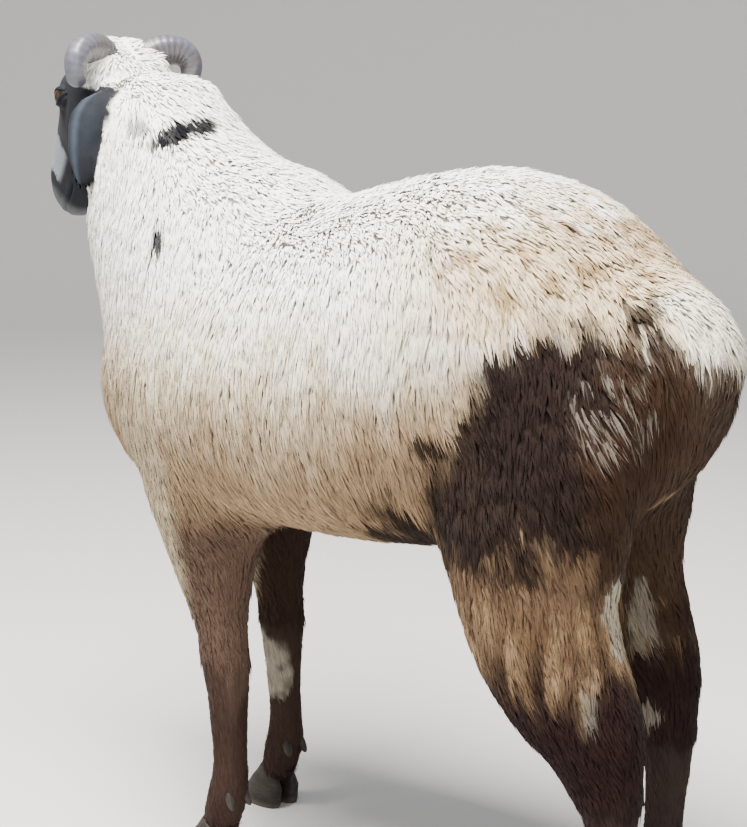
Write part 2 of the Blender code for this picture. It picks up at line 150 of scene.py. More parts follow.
def modified(piece, kind, **settings):
    """The points and triangles of piece after one modifier, and piece is removed."""
    modifier = piece.modifiers.new(kind.lower(), kind)
    for key, value in settings.items():
        setattr(modifier, key, value)
    bpy.context.view_layer.update()
    shown = piece.evaluated_get(bpy.context.evaluated_depsgraph_get())
    made = bpy.data.meshes.new_from_object(shown)
    arrays = read_mesh(made)
    bpy.data.objects.remove(piece)
    bpy.data.meshes.remove(made)
    return arrays


def set_colour(piece, colours):
    """Writes one linear colour for each point as the attribute "coat", which every material reads."""
    layer = piece.data.color_attributes.new("coat", "FLOAT_COLOR", "POINT")
    rgba = np.ones((len(colours), 4), np.float32)
    rgba[:, :3] = colours
    layer.data.foreach_set("color", rgba.ravel())


def gathered(ends, rows, count):
    """The sum, for each of count points, of the rows that go to it."""
    return np.stack([np.bincount(ends, column, count) for column in rows.T], axis=1)


def normals_of(points, faces):
    """Each point's normal: the sum of (b - a) x (c - a) over its triangles, made a unit vector."""
    a, b, c = points[faces].transpose(1, 0, 2)
    cross = np.cross(b - a, c - a)
    return unit(gathered(faces.ravel(), np.repeat(cross, 3, axis=0), len(points)))


def edge_ends(faces):
    """The two ends of every triangle's edges, each edge both ways round: (from here, to there)."""
    pairs = np.concatenate([faces[:, [0, 1]], faces[:, [1, 2]], faces[:, [2, 0]]])
    return np.concatenate([pairs, pairs[:, ::-1]]).T


def smoothed(points, faces, rounds, weight):
    """Moves each point by weight towards the mean of its neighbours, rounds times over."""
    ends, others = edge_ends(faces)
    count = np.maximum(np.bincount(ends, minlength=len(points)), 1)[:, None]
    weight = np.broadcast_to(weight, len(points))[:, None]
    for _ in range(rounds):
        total = gathered(ends, points[others], len(points))
        points = points + weight * (total / count - points)
    return points


print("the trunk's solid has", len(read_mesh(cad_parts["trunk"].data)[1]), "triangles")

# %% [markdown]
# ## The head's own directions
# Lids, nostrils and lips are easier to place on the head's own axes: side, towards the lips
# and towards the forehead. The two eyeballs of the solids say where the head is and how far it
# is turned, and the pitch says how steeply the nose points down.

# %% Head axes
HEAD_PITCH = math.radians(46)
HEAD_LENGTH = 0.218
EYE_NOSE = 0.17 * HEAD_LENGTH
EYE_BROW = 0.095 * HEAD_LENGTH


def box_middle(node):
    """The middle of a node's box."""
    low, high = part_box(node)
    return np.array((low + high) / 2)


def corners(node):
    """The lowest and highest corner of a node's box, as arrays."""
    low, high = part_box(node)
    return np.array(low), np.array(high)


def shares(points, node):
    """Each point's place in a node's box, from 0 to 1 along each axis."""
    low, high = corners(node)
    return (points - low) / (high - low)


eye_middle = {hand: box_middle(f"eye_{hand}") for hand in HANDS}
head_side = unit(eye_middle["left"] - eye_middle["right"])
level_ahead = unit(np.cross(head_side, (0, 0, -1)))
level_ahead = level_ahead if level_ahead[1] < 0 else -level_ahead
head_nose = level_ahead * math.cos(HEAD_PITCH) - np.array((0, 0, math.sin(HEAD_PITCH)))
head_brow = unit(np.cross(head_side, head_nose))
head_brow = head_brow if head_brow[2] > 0 else -head_brow
HEAD_AXES = np.stack([head_side, head_nose, head_brow])
head_origin = (eye_middle["left"] + eye_middle["right"]) / 2 - (EYE_NOSE, EYE_BROW) @ HEAD_AXES[1:]


def to_head(points):
    """Points as (side, towards the lips, towards the forehead) from the middle of the skull."""
    return (points - head_origin) @ HEAD_AXES.T


def from_head(points):
    """The other way round, from the head's axes to the world's."""
    return np.asarray(points, float) @ HEAD_AXES + head_origin


print("head origin", head_origin.round(4), "nose points", head_nose.round(3))

# %% [markdown]
# ## The line of a horn
# A young ram's horn leaves the poll sideways and back and curls down beside the ear. One
# cubic curve with four control points holds its middle line. The skin needs it too, to keep
# the coat off the horn.

# %% Horn line
HORN_LINE = np.array(
    [(0.022, -0.014, 0.022), (0.044, -0.040, 0.028), (0.086, -0.042, 0.012), (0.066, -0.008, -0.012)]
)
HORN_RADIUS = 0.0180
HORN_TAPER = 0.42


def horn_middle(t, hand):
    """(1-t)^3 a + 3t(1-t)^2 b + 3t^2(1-t) c + t^3 d, from the head's axes to the world's."""
    t = np.asarray(t, float)[:, None]
    a, b, c, d = HORN_LINE * (hand, 1, 1)
    return from_head(a * (1 - t) ** 3 + b * 3 * t * (1 - t) ** 2 + c * 3 * t**2 * (1 - t) + d * t**3)


def horn_width(t):
    """The horn's radius, full at the root and blunt at the tip: R (1 - 0.42 t^1.6)."""
    return HORN_RADIUS * (1 - HORN_TAPER * np.asarray(t, float) ** 1.6)


def clear_of_horns(points):
    """How far each point is outside the nearer horn, taken as 13 beads along its line."""
    t = np.linspace(0, 1, 13)
    far = np.full(len(points), 1.0)
    for hand in HANDS.values():
        for bead, radius in zip(horn_middle(t, hand), horn_width(t)):
            far = np.minimum(far, np.linalg.norm(points - bead, axis=1) - radius)
    return far


tips = [horn_middle([1], sign)[0].round(3) for sign in HANDS.values()]
print("horns end at", *tips)

# %% [markdown]
# ## One skin from the solids
# The solids are parted where a person would name their pieces, but a hide has no seams. The
# copies are welded, swollen by a hair so that they overlap, and fused by a voxel remesh. The
# head is fused on a finer grid than the body, since lids and lips are small. Both are then
# softened, because the solids have flat facets.

# %% Closed shapes
ROD_AROUND = 24
ROD_ALONG = 16


def copies(nodes, by):
    """The welded meshes of those nodes as one, each moved out along its normals by that much."""
    all_points, all_faces, count = [], [], 0
    for node in nodes:
        loose, faces = read_mesh(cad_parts[node].data)
        microns = np.round(loose * 1e6)
        _, first, index = np.unique(microns, axis=0, return_index=True, return_inverse=True)
        points, faces = loose[first], index.reshape(-1)[faces]
        all_points.append(points + normals_of(points, faces) * by)
        all_faces.append(faces + count)
        count += len(points)
    return np.concatenate(all_points), np.concatenate(all_faces)


def capsule(start, end, first, last):
    """A rod with half balls for ends, whose radius is first + (last - first) s at share s."""
    start, end = np.array(start), np.array(end)
    run = end - start
    length = np.linalg.norm(run)
    axis = run / length
    across = unit(np.cross(axis, (0, 0, 1.0)))
    high = np.cross(axis, across)
    turn = np.linspace(0, math.pi, ROD_ALONG + 2)[1:-1]
    radius = first + (last - first) * (1 - np.cos(turn)) / 2
    centre = start + ((1 - np.cos(turn)) / 2 * length - np.cos(turn) * radius)[:, None] * axis
    angle = np.arange(ROD_AROUND) * 2 * math.pi / ROD_AROUND
    ring = np.cos(angle)[:, None] * across + np.sin(angle)[:, None] * high
    points = centre[:, None] + (radius * np.sin(turn))[:, None, None] * ring
    return closed_grid(points, start - axis * first, end + axis * last)


def between_rings(rows, around):
    """The triangles between each ring of points and the next, two to a cell."""
    k = np.arange(around)
    after = (k + 1) % around
    row = np.arange(rows - 1)[:, None] * around
    a, b, c, d = row + k, row + after, row + around + after, row + around + k
    return np.concatenate([np.stack([a, b, c], 2), np.stack([a, c, d], 2)]).reshape(-1, 3)


def closed_grid(rings, first_pole, last_pole):
    """Points and triangles of a tube of rings (rows, around, 3) that two poles close."""
    rows, around = rings.shape[:2]
    points = np.concatenate([rings.reshape(-1, 3), [first_pole], [last_pole]])
    k = np.arange(around)
    after = (k + 1) % around
    foot = np.stack([after, k, np.full(around, rows * around)], 1)
    top = np.stack([k, after, np.full(around, rows * around + 1)], 1)
    top[:, :2] += (rows - 1) * around
    faces = np.concatenate([between_rings(rows, around), foot, top])
    a, b, c = (points - points.mean(0))[faces].transpose(1, 0, 2)
    inside_out = (a * np.cross(b, c)).sum() < 0
    return points, faces[:, ::-1] if inside_out else faces


def together(shapes):
    """Several (points, faces) as one."""
    starts = np.cumsum([0] + [len(points) for points, _ in shapes])
    faces = [faces + start for (_, faces), start in zip(shapes, starts)]
    return np.concatenate([points for points, _ in shapes]), np.concatenate(faces)


def fused(shape, grid):
    """One closed surface round all the parts of a shape, from cubes of that size."""
    return modified(new_piece("rough", *shape), "REMESH", mode="VOXEL", voxel_size=grid)


print("a rod has", len(capsule((0, 0, 0), (0.1, 0, 0), 0.01, 0.01)[1]), "triangles")

# %% Where the ears are
EAR_ROOT = (0.051, -0.030, -0.046)
EAR_LENGTH = 0.105
EAR_WIDTH = 0.052
EAR_ROWS = 10


def ear_bases():
    """The gristle that carries each ear, from inside the skull to the ear's root."""
    made = []
    for hand, sign in HANDS.items():
        low, high = corners(f"ear_{hand}")
        inner_side = np.abs([low[0], high[0]]).min()
        root = np.array((sign * (inner_side + 0.006), high[1] - 0.016, high[2] - 0.012))
        made.append(capsule(from_head((sign * 0.030, 0.002, -0.004)), root, 0.016, 0.011))
    return made


def in_box(points, node, margin):
    """1 inside a node's box, fading to 0 at that margin outside it."""
    low, high = corners(node)
    outside = np.maximum(np.maximum(low - points, points - high), 0)
    return 1 - ease(0, margin, np.linalg.norm(outside, axis=1))


def beside_ears(points, margin):
    """1 inside either ear's box, fading to 0 at that margin outside it."""
    return np.maximum(*[in_box(points, f"ear_{hand}", margin) for hand in HANDS])


def ear_line(hand):
    """An ear's middle line, its unit vectors across and outwards, and its half width, row by row.

    The leaf leaves the head sideways, and its slope falls from 12 to 80 degrees in the first half.
    """
    s = np.linspace(0, 1, EAR_ROWS)[:, None]
    out, ahead, down = head_side * hand, level_ahead, np.array((0, 0, -1.0))
    slope = np.radians(12 + 68 * np.minimum(1, 2.2 * s))
    along = out * np.cos(slope) + down * np.sin(slope)
    steps = along * (s > 0) * EAR_LENGTH / (EAR_ROWS - 1)
    middle = from_head((hand * EAR_ROOT[0], *EAR_ROOT[1:])) + np.cumsum(steps, axis=0)
    chord = unit(ahead * 0.75 + out * 0.66)
    across = unit(chord - along * (along @ chord)[:, None])
    face = np.cross(along, across)
    face *= np.where(face @ (out - ahead) < 0, -1, 1)[:, None]
    half = EAR_WIDTH / 2 * (0.36 + 0.64 * np.sin(math.pi / 2 * np.minimum(1, 2.2 * s[:, 0])))
    half = np.maximum(half * (1 - s[:, 0] ** 3.2) ** 0.6, 0.005)
    fine = np.linspace(0, 1, 4 * EAR_ROWS)
    return [
        np.stack([np.interp(fine, s[:, 0], column) for column in rows.reshape(EAR_ROWS, -1).T], axis=1)
        for rows in (middle, across, face, half)
    ]


def ear_place(points, hand):
    """Each point's share along the ear, share across it (1 at the front edge) and way off the leaf."""
    middle, across, face, half = ear_line(hand)
    offset = points[:, None] - middle
    row = ((offset**2).sum(2) - (offset * across).sum(2) ** 2).argmin(1)
    offset = offset[np.arange(len(points)), row]
    wide = half[row, 0]
    t = (offset * across[row]).sum(1) / wide
    off = (offset * face[row]).sum(1) - 0.34 * wide * (1 - np.minimum(t * t, 1))
    return row / (len(middle) - 1), t, off


def on_ears(points):
    """1 on the ears' leaves, 0 on the head and neck beside them."""
    total = np.zeros(len(points))
    for hand, sign in HANDS.items():
        near = np.flatnonzero(in_box(points, f"ear_{hand}", 0.006) > 0)
        s, t, off = ear_place(points[near], sign)
        leaf = (1 - ease(0.0040, 0.0058, np.abs(off))) * (1 - ease(1.10, 1.30, np.abs(t)))
        total[near] = np.maximum(total[near], leaf * ease(0.04, 0.10, s))
    return total


ear_solid, _ = read_mesh(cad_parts["ear_left"].data)
print("share of the left ear's solid on its leaf:", on_ears(ear_solid).mean().round(2))

# %% Fuse the body and the head
BODY_GRID = 0.0064
HEAD_GRID = 0.0022
OVERLAP = 0.0009
BODY_NODES = ["trunk", "neck", "tail", "head"] + [f"leg_{leg}" for leg in LEGS]
HEAD_NODES = ["head"] + [f"{kind}_{hand}" for kind in ("ear", "eye", "horn") for hand in HANDS]


def even_nape(points):
    """The nape without its step: filled behind the poll, lowered at the crest that follows."""
    across, along, up = shares(points, "neck").T
    on_top = ease(0.74, 0.88, up) * (1 - ease(0.12, 0.26, np.abs(across - 0.5)))
    rise = 0.012 * bell(along - 0.27, 0.08) - 0.010 * bell(along - 0.44, 0.10)
    return points + (rise * on_top)[:, None] * (0, 0, 1)


body, body_faces = fused(copies(BODY_NODES, OVERLAP), BODY_GRID)
head, head_faces = fused(together([copies(HEAD_NODES, OVERLAP)] + ear_bases()), HEAD_GRID)
slim = 1 - ease(0.20, 0.36, body[:, 2])
body = smoothed(body, body_faces, 30, 0.5 * (1 - 0.75 * slim))
head = smoothed(head, head_faces, 14, 0.5 * (1 - 0.6 * on_ears(head)))
body, head = even_nape(body), even_nape(head)
print("body", len(body), "points, head", len(head), "points")

# %% [markdown]
# ## How deep the coat is
# Shorn wool lies about a centimetre deep on back and flanks and less on legs and tail. Face,
# ears and the legs below knee and hock carry short hair. One function gives that depth
# anywhere on the animal, so that the skin and the locks agree.

# %% Coat depth
KNEE = 0.225
HOCK = 0.215
WOOL_EDGE_BEHIND_JAW = -0.012

trunk_low, trunk_high = corners("trunk")
neck_low, neck_high = corners("neck")
tail_low, _ = corners("tail")
MIDDLE_AHEAD = (trunk_low[1] + trunk_high[1]) / 2
BEHIND_SKULL = neck_low[1] + 0.13


def on_skull(points):
    """1 on the head, 0 on the throat and neck below it and behind it."""
    ahead = points[:, 1] < BEHIND_SKULL
    return ahead * ease(-0.088, -0.076, to_head(points)[:, 2])


def past_wool(points):
    """Metres past the wool's edge, towards the lips: the edge is furthest ahead at the temple."""
    side, nose, brow = to_head(points).T
    edge = WOOL_EDGE_BEHIND_JAW + 0.024 * ease(-0.040, 0.020, brow) + 0.004 * np.sin(side * 220)
    edge -= 0.024 * beside_ears(points, 0.010)
    return nose - edge


def bareness(points):
    """1 where the hair is short: on the face, on the ears and below knee and hock; 0 in the wool."""
    face = ease(-0.006, 0.006, past_wool(points)) * on_skull(points)
    joint = np.where(points[:, 1] < MIDDLE_AHEAD, KNEE, HOCK)
    shank = 1 - ease(joint - 0.022, joint + 0.010, points[:, 2])
    return np.clip(np.maximum(face, shank) + on_ears(points), 0, 1)


def coat_depth(points):
    """Metres from the hide to the tips of the coat."""
    up = points[:, 2]
    depth = 0.0065 + 0.0030 * ease(0.36, 0.46, up)
    depth -= 0.0035 * ease(-0.075, -0.020, to_head(points)[:, 1]) * on_skull(points)
    depth -= 0.001 * in_box(points, "tail", 0.02) * ease(tail_low[1], tail_low[1] + 0.06, points[:, 1])
    bare = bareness(points)
    return depth * (1 - bare) + bare * (0.0022 - 0.0014 * on_ears(points))


print("coat depth", coat_depth(body).min().round(4), "to", coat_depth(body).max().round(4))

# %% Shrink the skin under the coat
# The normals are softened first, so that a faint crease doesn't fold as its two sides sink.
LEAST_SINK = 0.0025
MORE_IN_HEAD = 0.006
SINK_AT_HORN = 0.0042

inward = -unit(smoothed(normals_of(body, body_faces), body_faces, 10, 0.5))
in_head = ease(-0.075, -0.05, to_head(body)[:, 1]) * in_box(body, "head", 0.02) * on_skull(body)
depth = np.maximum(coat_depth(body), LEAST_SINK) + MORE_IN_HEAD * in_head
inner = body + inward * depth[:, None]
inner = smoothed(inner, body_faces, 6, 0.4 * (1 - 0.6 * slim))
at_horn = 1 - ease(0.0, 0.003, clear_of_horns(head))
head_depth = coat_depth(head) * (1 - at_horn) + SINK_AT_HORN * at_horn
skull = head - normals_of(head, head_faces) * head_depth[:, None]
print("the body sinks by", depth.min().round(4), "to", depth.max().round(4))

# %% [markdown]
# ## Lids, nostrils and lips
# The head gets finer faces round the eyes and at the muzzle, and is then pushed in and out by
# short formulas in its own axes. A lid is the hide drawn over the eyeball: outside an
# almond-shaped slit it lies on the ball, and inside the slit it sinks behind it.

# %% Finer faces at the eyes and the muzzle
FINE_AT_EYE = 0.023
MUZZLE_FROM = 0.128


def refined(points, faces, chosen):
    """Cuts every triangle whose three points are chosen into four, and fits its neighbours to it."""
    rough = new_piece("rough", points, faces)
    mesh = rough.data
    bpy.data.objects.remove(rough)
    bm = bmesh.new()
    bm.from_mesh(mesh)
    edges = [e for e in bm.edges if chosen[e.verts[0].index] and chosen[e.verts[1].index]]
    bmesh.ops.subdivide_edges(bm, edges=edges, cuts=1, use_grid_fill=True)
    bmesh.ops.triangulate(bm, faces=bm.faces)
    bm.to_mesh(mesh)
    bm.free()
    arrays = read_mesh(mesh)
    bpy.data.meshes.remove(mesh)
    return arrays


def from_eyes(points):
    """Distance from each point to the middle of the nearer eye."""
    away = [np.linalg.norm(points - middle, axis=1) for middle in eye_middle.values()]
    return np.minimum(*away)


chosen = (from_eyes(skull) < FINE_AT_EYE) | (to_head(skull)[:, 1] > MUZZLE_FROM)
skull, head_faces = refined(skull, head_faces, chosen)
chosen = from_eyes(skull) < 0.75 * FINE_AT_EYE
skull, head_faces = refined(skull, head_faces, chosen)
skull = smoothed(skull, head_faces, 2, 0.4)
print("head now has", len(skull), "points")

# %% Shape the lids
EYE_RADIUS = 0.0125
LID = 0.0016
SLIT_LENGTH = 0.0118
SLIT_ABOVE = 0.0068
SLIT_BELOW = 0.0056
SLIT_TURN = math.radians(26)


def eye_axes(hand):
    """The way an eyeball looks, out and a little ahead, with the slit's own length and height."""
    look = unit(head_side * hand + head_nose * 0.22 + head_brow * 0.20)
    lie = head_nose * math.cos(SLIT_TURN) + head_brow * math.sin(SLIT_TURN)
    along = unit(lie - look * (lie @ look))
    high = np.cross(look, along)
    return look, along, high if high[2] > 0 else -high


def lidded(points, hand, middle):
    """Skin round one eye: as far out as ball + lid where |b| > H (1 - |a/W|^1.7), sunk inside that slit."""
    look, along, high = eye_axes(hand)
    offset = points - middle
    far = np.linalg.norm(offset, axis=1)
    way = unit(offset)
    a = way @ along * EYE_RADIUS
    b = way @ high * EYE_RADIUS + 0.10 * a
    height = np.where(b > 0, SLIT_ABOVE, SLIT_BELOW) * (1 - np.abs(a / SLIT_LENGTH) ** 1.7)
    outside = np.abs(b) - height
    facing = ease(0.05, 0.30, way @ look)
    rim = LID + 0.0006 * bell(outside - 0.0012, 0.0010) - 0.0007 * bell(outside - 0.0042, 0.0009)
    lid = np.maximum(far, EYE_RADIUS + rim)
    sunk = EYE_RADIUS - 0.0035
    opening = 1 - ease(-0.0005, 0.0004, outside)
    target = lid * (1 - opening) + sunk * opening
    near = facing * (1 - ease(0.0150, 0.0215, far))
    return middle + way * (far + (target - far) * near)[:, None]


print("the left eye looks", eye_axes(1)[0].round(2))

# %% Shape nostrils, lips and bones


def to_segment(points, start, end):
    """Distance from each point to the straight line between start and end."""
    start, end = np.array(start), np.array(end)
    run = end - start
    t = np.clip((points - start) @ run / (run @ run), 0, 1)
    return np.linalg.norm(points - start - t[:, None] * run, axis=1)


def face_relief(points):
    """How far the hide stands out, in metres: each feature is a bell round a point or a line."""
    local = to_head(points)
    side, nose, brow = np.abs(local[:, 0]), local[:, 1], local[:, 2]
    mirrored = np.stack([side, nose, brow], axis=1)
    relief = np.zeros(len(points))
    # Nostril: a comma-shaped slit that climbs outwards, with a soft wing above it.
    slit = to_segment(mirrored, (0.0065, 0.1790, -0.0045), (0.0165, 0.1690, 0.0085))
    relief -= 0.0052 * bell(slit, 0.0021)
    wing = to_segment(mirrored, (0.0085, 0.1740, 0.0060), (0.0165, 0.1620, 0.0130))
    relief += 0.0014 * bell(wing, 0.0030)
    # The groove from between the nostrils down to the split upper lip.
    relief -= 0.0016 * bell(side, 0.0010) * ease(0.170, 0.176, nose) * ease(-0.017, -0.012, brow)
    # The mouth is a thin line that rises towards its corner, with a lip above and below.
    line = -0.0165 - 0.10 * (0.181 - nose) + 1.3 * np.maximum(0.150 - nose, 0) ** 1.5
    gape = brow - line
    along = ease(0.126, 0.136, nose)
    relief -= 0.0022 * bell(gape, 0.0009) * along
    relief += 0.0009 * (bell(gape - 0.0036, 0.0026) + bell(gape + 0.0034, 0.0024)) * along
    # Corner of the mouth.
    corner = np.linalg.norm(mirrored - (0.0240, 0.1290, -0.0180), axis=1)
    relief -= 0.0010 * bell(corner, 0.0040)
    # Tear pit ahead of the eye, the bone below the eye and the cheek's big muscle.
    pit = to_segment(mirrored, (0.0440, 0.0570, 0.0120), (0.0405, 0.0680, 0.0085))
    relief -= 0.0019 * bell(pit, 0.0033)
    crest = to_segment(mirrored, (0.0530, 0.0300, 0.0020), (0.0370, 0.0880, -0.0060))
    relief += 0.0014 * bell(crest, 0.0060)
    cheek = np.linalg.norm((mirrored - (0.0480, 0.0240, -0.0260)) / (1.0, 1.3, 1.0), axis=1)
    relief += 0.0016 * bell(cheek, 0.0200)
    hollow = np.linalg.norm((mirrored - (0.0340, 0.0840, 0.0180)) / (1.0, 1.8, 1.0), axis=1)
    relief -= 0.0014 * bell(hollow, 0.0120)
    brow_bone = to_segment(mirrored, (0.0470, 0.0220, 0.0400), (0.0400, 0.0480, 0.0370))
    relief += 0.0016 * bell(brow_bone, 0.0060)
    return relief


relief = face_relief(skull)
skull = skull + normals_of(skull, head_faces) * relief[:, None]
for hand, sign in HANDS.items():
    skull = lidded(skull, sign, eye_middle[hand])
print("face relief", relief.min().round(4), "to", relief.max().round(4))

# %% [markdown]
# ## Join head and body
# Both are closed, so a Boolean union makes one closed hide. The crease where they meet is then
# softened: the points that the cut added start with full weight, which spreads outwards and
# fades.

# %% One hide
SOFT_ROUNDS = 7


def union(first, second):
    """The points and triangles of two closed meshes made one."""
    one, other = new_piece("one", *first), new_piece("other", *second)
    arrays = modified(one, "BOOLEAN", operation="UNION", solver="MANIFOLD", object=other)
    bpy.data.objects.remove(other)
    return arrays


def added(points, old):
    """1 for the points that aren't among the old ones, to a hundredth of a millimetre."""
    both = np.round(np.concatenate([old, points]) * 1e5).astype(np.int64)
    _, index = np.unique(both, axis=0, return_inverse=True)
    index = index.reshape(-1)
    return 1.0 - np.isin(index[len(old) :], index[: len(old)])


def spread(values, faces, rounds, keep):
    """Each round a point takes its neighbours' largest value times keep."""
    ends, others = edge_ends(faces)
    for _ in range(rounds):
        best = values.copy()
        np.maximum.at(best, ends, values[others] * keep)
        values = best
    return values


hide, hide_faces = union((skull, head_faces), (inner, body_faces))
seam = added(hide, np.concatenate([skull, inner]).astype(np.float32).astype(float))
seam = spread(seam, hide_faces, SOFT_ROUNDS, 0.88)
hide = smoothed(hide, hide_faces, 14, 0.5 * seam)
print("hide", len(hide), "points,", len(hide_faces), "triangles,", int((seam > 0).sum()), "softened")

# %% [markdown]
# ## Markings
# The ram is cream white with a black face and ears. Mud and dung have stained the thighs dark
# brown, the belly hangs in tan streaks and the lower legs are dark. Each mark is a soft
# ellipsoid at a share of a node's box, and noise frays its edge. The same function colours
# hide and coat, so that no bare patch shows between locks.

# %% Coat colours


def linear(code):
    """An sRGB hex colour as linear light: ((c + 0.055) / 1.055)^2.4 above 0.04045, else c / 12.92."""
    parts = np.array([int(code[i : i + 2], 16) / 255 for i in (1, 3, 5)])
    return np.where(parts <= 0.04045, parts / 12.92, ((parts + 0.055) / 1.055) ** 2.4)


def blend(under, over, amount):
    """under where amount is 0, over where it is 1."""
    return under + (over - under) * np.asarray(amount)[:, None]


CREAM = linear("#f9f6ed")
BEIGE = linear("#d2c4a8")
TAN = linear("#92775a")
UMBER = linear("#574231")
MUD_AND_SHADE = linear("#211815")
PLUM = linear("#231615")
BLACK = linear("#0f1014")
ASH = linear("#3c4149")
PALE = linear("#aea795")
print("cream in linear light:", CREAM.round(3))

# %% Marks and flecks
# Node, share of its box across, along and up, radii in metres, colour, strength, fraying.
MARKS = [
    # Dung-stained thighs, over the stifle and up on to the flank, and the hams under the tail.
    ("leg_hind_left", (0.87, 0.69, 1.055), (0.090, 0.064, 0.074), MUD_AND_SHADE, 1.00, 0.45),
    ("leg_hind_left", (0.80, 0.52, 0.901), (0.090, 0.074, 0.066), MUD_AND_SHADE, 0.97, 0.50),
    ("leg_hind_left", (0.59, 0.90, 1.000), (0.085, 0.060, 0.100), MUD_AND_SHADE, 0.96, 0.50),
    ("leg_hind_right", (0.15, 0.72, 0.900), (0.070, 0.075, 0.085), MUD_AND_SHADE, 0.80, 0.60),
    ("trunk", (0.50, 0.98, 0.330), (0.125, 0.062, 0.130), linear("#36261c"), 0.97, 0.50),
    ("leg_hind_right", (0.60, 0.88, 0.740), (0.070, 0.055, 0.095), linear("#33251c"), 0.92, 0.60),
    # The tail stays clean on top.
    ("tail", (0.50, 0.88, 0.700), (0.046, 0.050, 0.046), linear("#e6dfcc"), 0.92, 0.35),
    # The belly, dark brown underneath, ahead of the stifles.
    ("trunk", (0.50, 0.70, 0.100), (0.180, 0.086, 0.062), MUD_AND_SHADE, 0.97, 0.60),
    # Pale places that the mud missed, inside the hind legs and on the right fore leg.
    ("leg_hind_left", (0.35, 0.875, 0.690), (0.022, 0.024, 0.034), PALE, 0.75, 0.90),
    ("leg_hind_right", (0.70, 0.860, 0.610), (0.012, 0.020, 0.030), PALE, 0.32, 0.90),
    ("leg_hind_left", (0.72, 0.900, 0.565), (0.007, 0.009, 0.022), PALE, 0.22, 0.90),
    ("leg_hind_right", (0.71, 0.885, 0.397), (0.008, 0.010, 0.022), PALE, 0.28, 0.90),
    ("leg_front_right", (0.68, 0.500, 0.320), (0.020, 0.022, 0.034), PALE, 0.58, 0.80),
    # Painted shade: the shadow in the fold over the neck, small painted shadows beside it, and one between
    # locks on the shoulder.
    ("neck", (0.63, 0.665, 0.800), (0.024, 0.019, 0.016), BLACK, 0.99, 0.45),
    ("neck", (0.71, 0.630, 0.775), (0.022, 0.015, 0.013), BLACK, 0.97, 0.45),
    ("neck", (0.77, 0.600, 0.760), (0.013, 0.013, 0.011), BLACK, 0.90, 0.50),
    ("neck", (0.79, 0.500, 0.800), (0.017, 0.015, 0.012), ASH, 0.70, 0.60),
    ("trunk", (0.83, 0.222, 0.790), (0.018, 0.012, 0.019), BLACK, 0.97, 0.45),
]
# Painted shade in the crease between the tail and each ham.
for sign in HANDS.values():
    for behind, up in ((0.64, 0.66), (0.74, 0.50), (0.84, 0.26)):
        crease = (0.5 + 0.48 * sign, behind, up)
        MARKS.append(("tail", crease, (0.012, 0.015, 0.014), MUD_AND_SHADE, 0.85, 0.40))

# Node, share of its box, radii, colour, strength and size of the flecks in metres.
FLECKS = [
    ("trunk", (0.74, 0.85, 0.81), (0.090, 0.090, 0.056), linear("#87683f"), 0.70, 0.014),
    ("trunk", (0.26, 0.85, 0.81), (0.090, 0.090, 0.056), linear("#87683f"), 0.60, 0.014),
    ("trunk", (0.75, 0.97, 0.48), (0.036, 0.040, 0.036), linear("#8f877b"), 0.42, 0.006),
]
print(len(MARKS), "marks and", len(FLECKS), "areas of flecks")

# %% Colour of wool and legs


def within(points, centre, radii, fray, salt):
    """1 inside an ellipsoid, 0 outside, with a border that noise moves in and out by fray."""
    far = np.linalg.norm((points - centre) / radii, axis=1)
    far = far + fray * (clouds(points, 0.016, salt) - 0.5) * 1.6
    return 1 - ease(0.78, 1.16, far)


def box_place(node, share):
    """The point at that share of a node's box."""
    low, high = corners(node)
    return low + (high - low) * share


def wool_colour(points):
    """Cream above, and beige lower on the flanks, partly stain and partly painted shade; then tan and umber
    streaks, higher towards the thighs.
    """
    streak = clouds(points * (1, 1, 0.20), 0.012, 3) - 0.5
    patch = clouds(points, 0.090, 5) - 0.5
    up = points[:, 2] + 0.04 * patch + 0.08 * streak
    along = shares(points, "trunk")[:, 1]
    soiled = 0.470 + 0.052 * ease(0.45, 0.80, along) + 0.016 * (1 - ease(0.10, 0.30, along))
    # Painted shade in part: the wool turns from cream on the back to beige lower down.
    colour = blend(BEIGE, CREAM, ease(0.49, 0.60, up))
    rump = ease(0.60, 0.85, along) * ease(0.54, 0.58, up) * (1 - ease(0.64, 0.69, up))
    colour = blend(colour, linear("#c2a678"), 0.80 * rump)
    colour = blend(colour, TAN, 0.90 * (1 - ease(soiled - 0.06, soiled + 0.07, up)))
    umber = 1 - ease(soiled - 0.125, soiled - 0.035, up)
    return blend(colour, UMBER, umber * (0.35 + 0.50 * ease(0.50, 0.75, along)))


def leg_colour(points):
    """Hind legs streaked tan and umber over a plum-brown hock; fore legs brown with dark cannons, the right
    one darker as painted shade.
    """
    streak = clouds(points * (1, 1, 0.22), 0.011, 9)
    up = points[:, 2] + 0.07 * (streak - 0.5)
    hind = points[:, 1] > MIDDLE_AHEAD
    gaskin = blend(UMBER, linear("#9a7f60"), 0.12 + 0.62 * ease(0.34, 0.76, streak))
    hind_tone = blend(PLUM, gaskin, ease(0.265, 0.335, up))
    hind_tone = blend(hind_tone, linear("#2c211e"), 1 - ease(0.15, 0.21, up))
    # Painted shade: the right fore leg is a darker brown than the left, as if it stood in shadow.
    upper = np.where(points[:, :1] > 0, linear("#57453a"), linear("#2e211b"))
    fore_tone = blend(upper, linear("#32231d"), 1 - ease(0.15, 0.24, up))
    return np.where(hind[:, None], hind_tone, fore_tone)


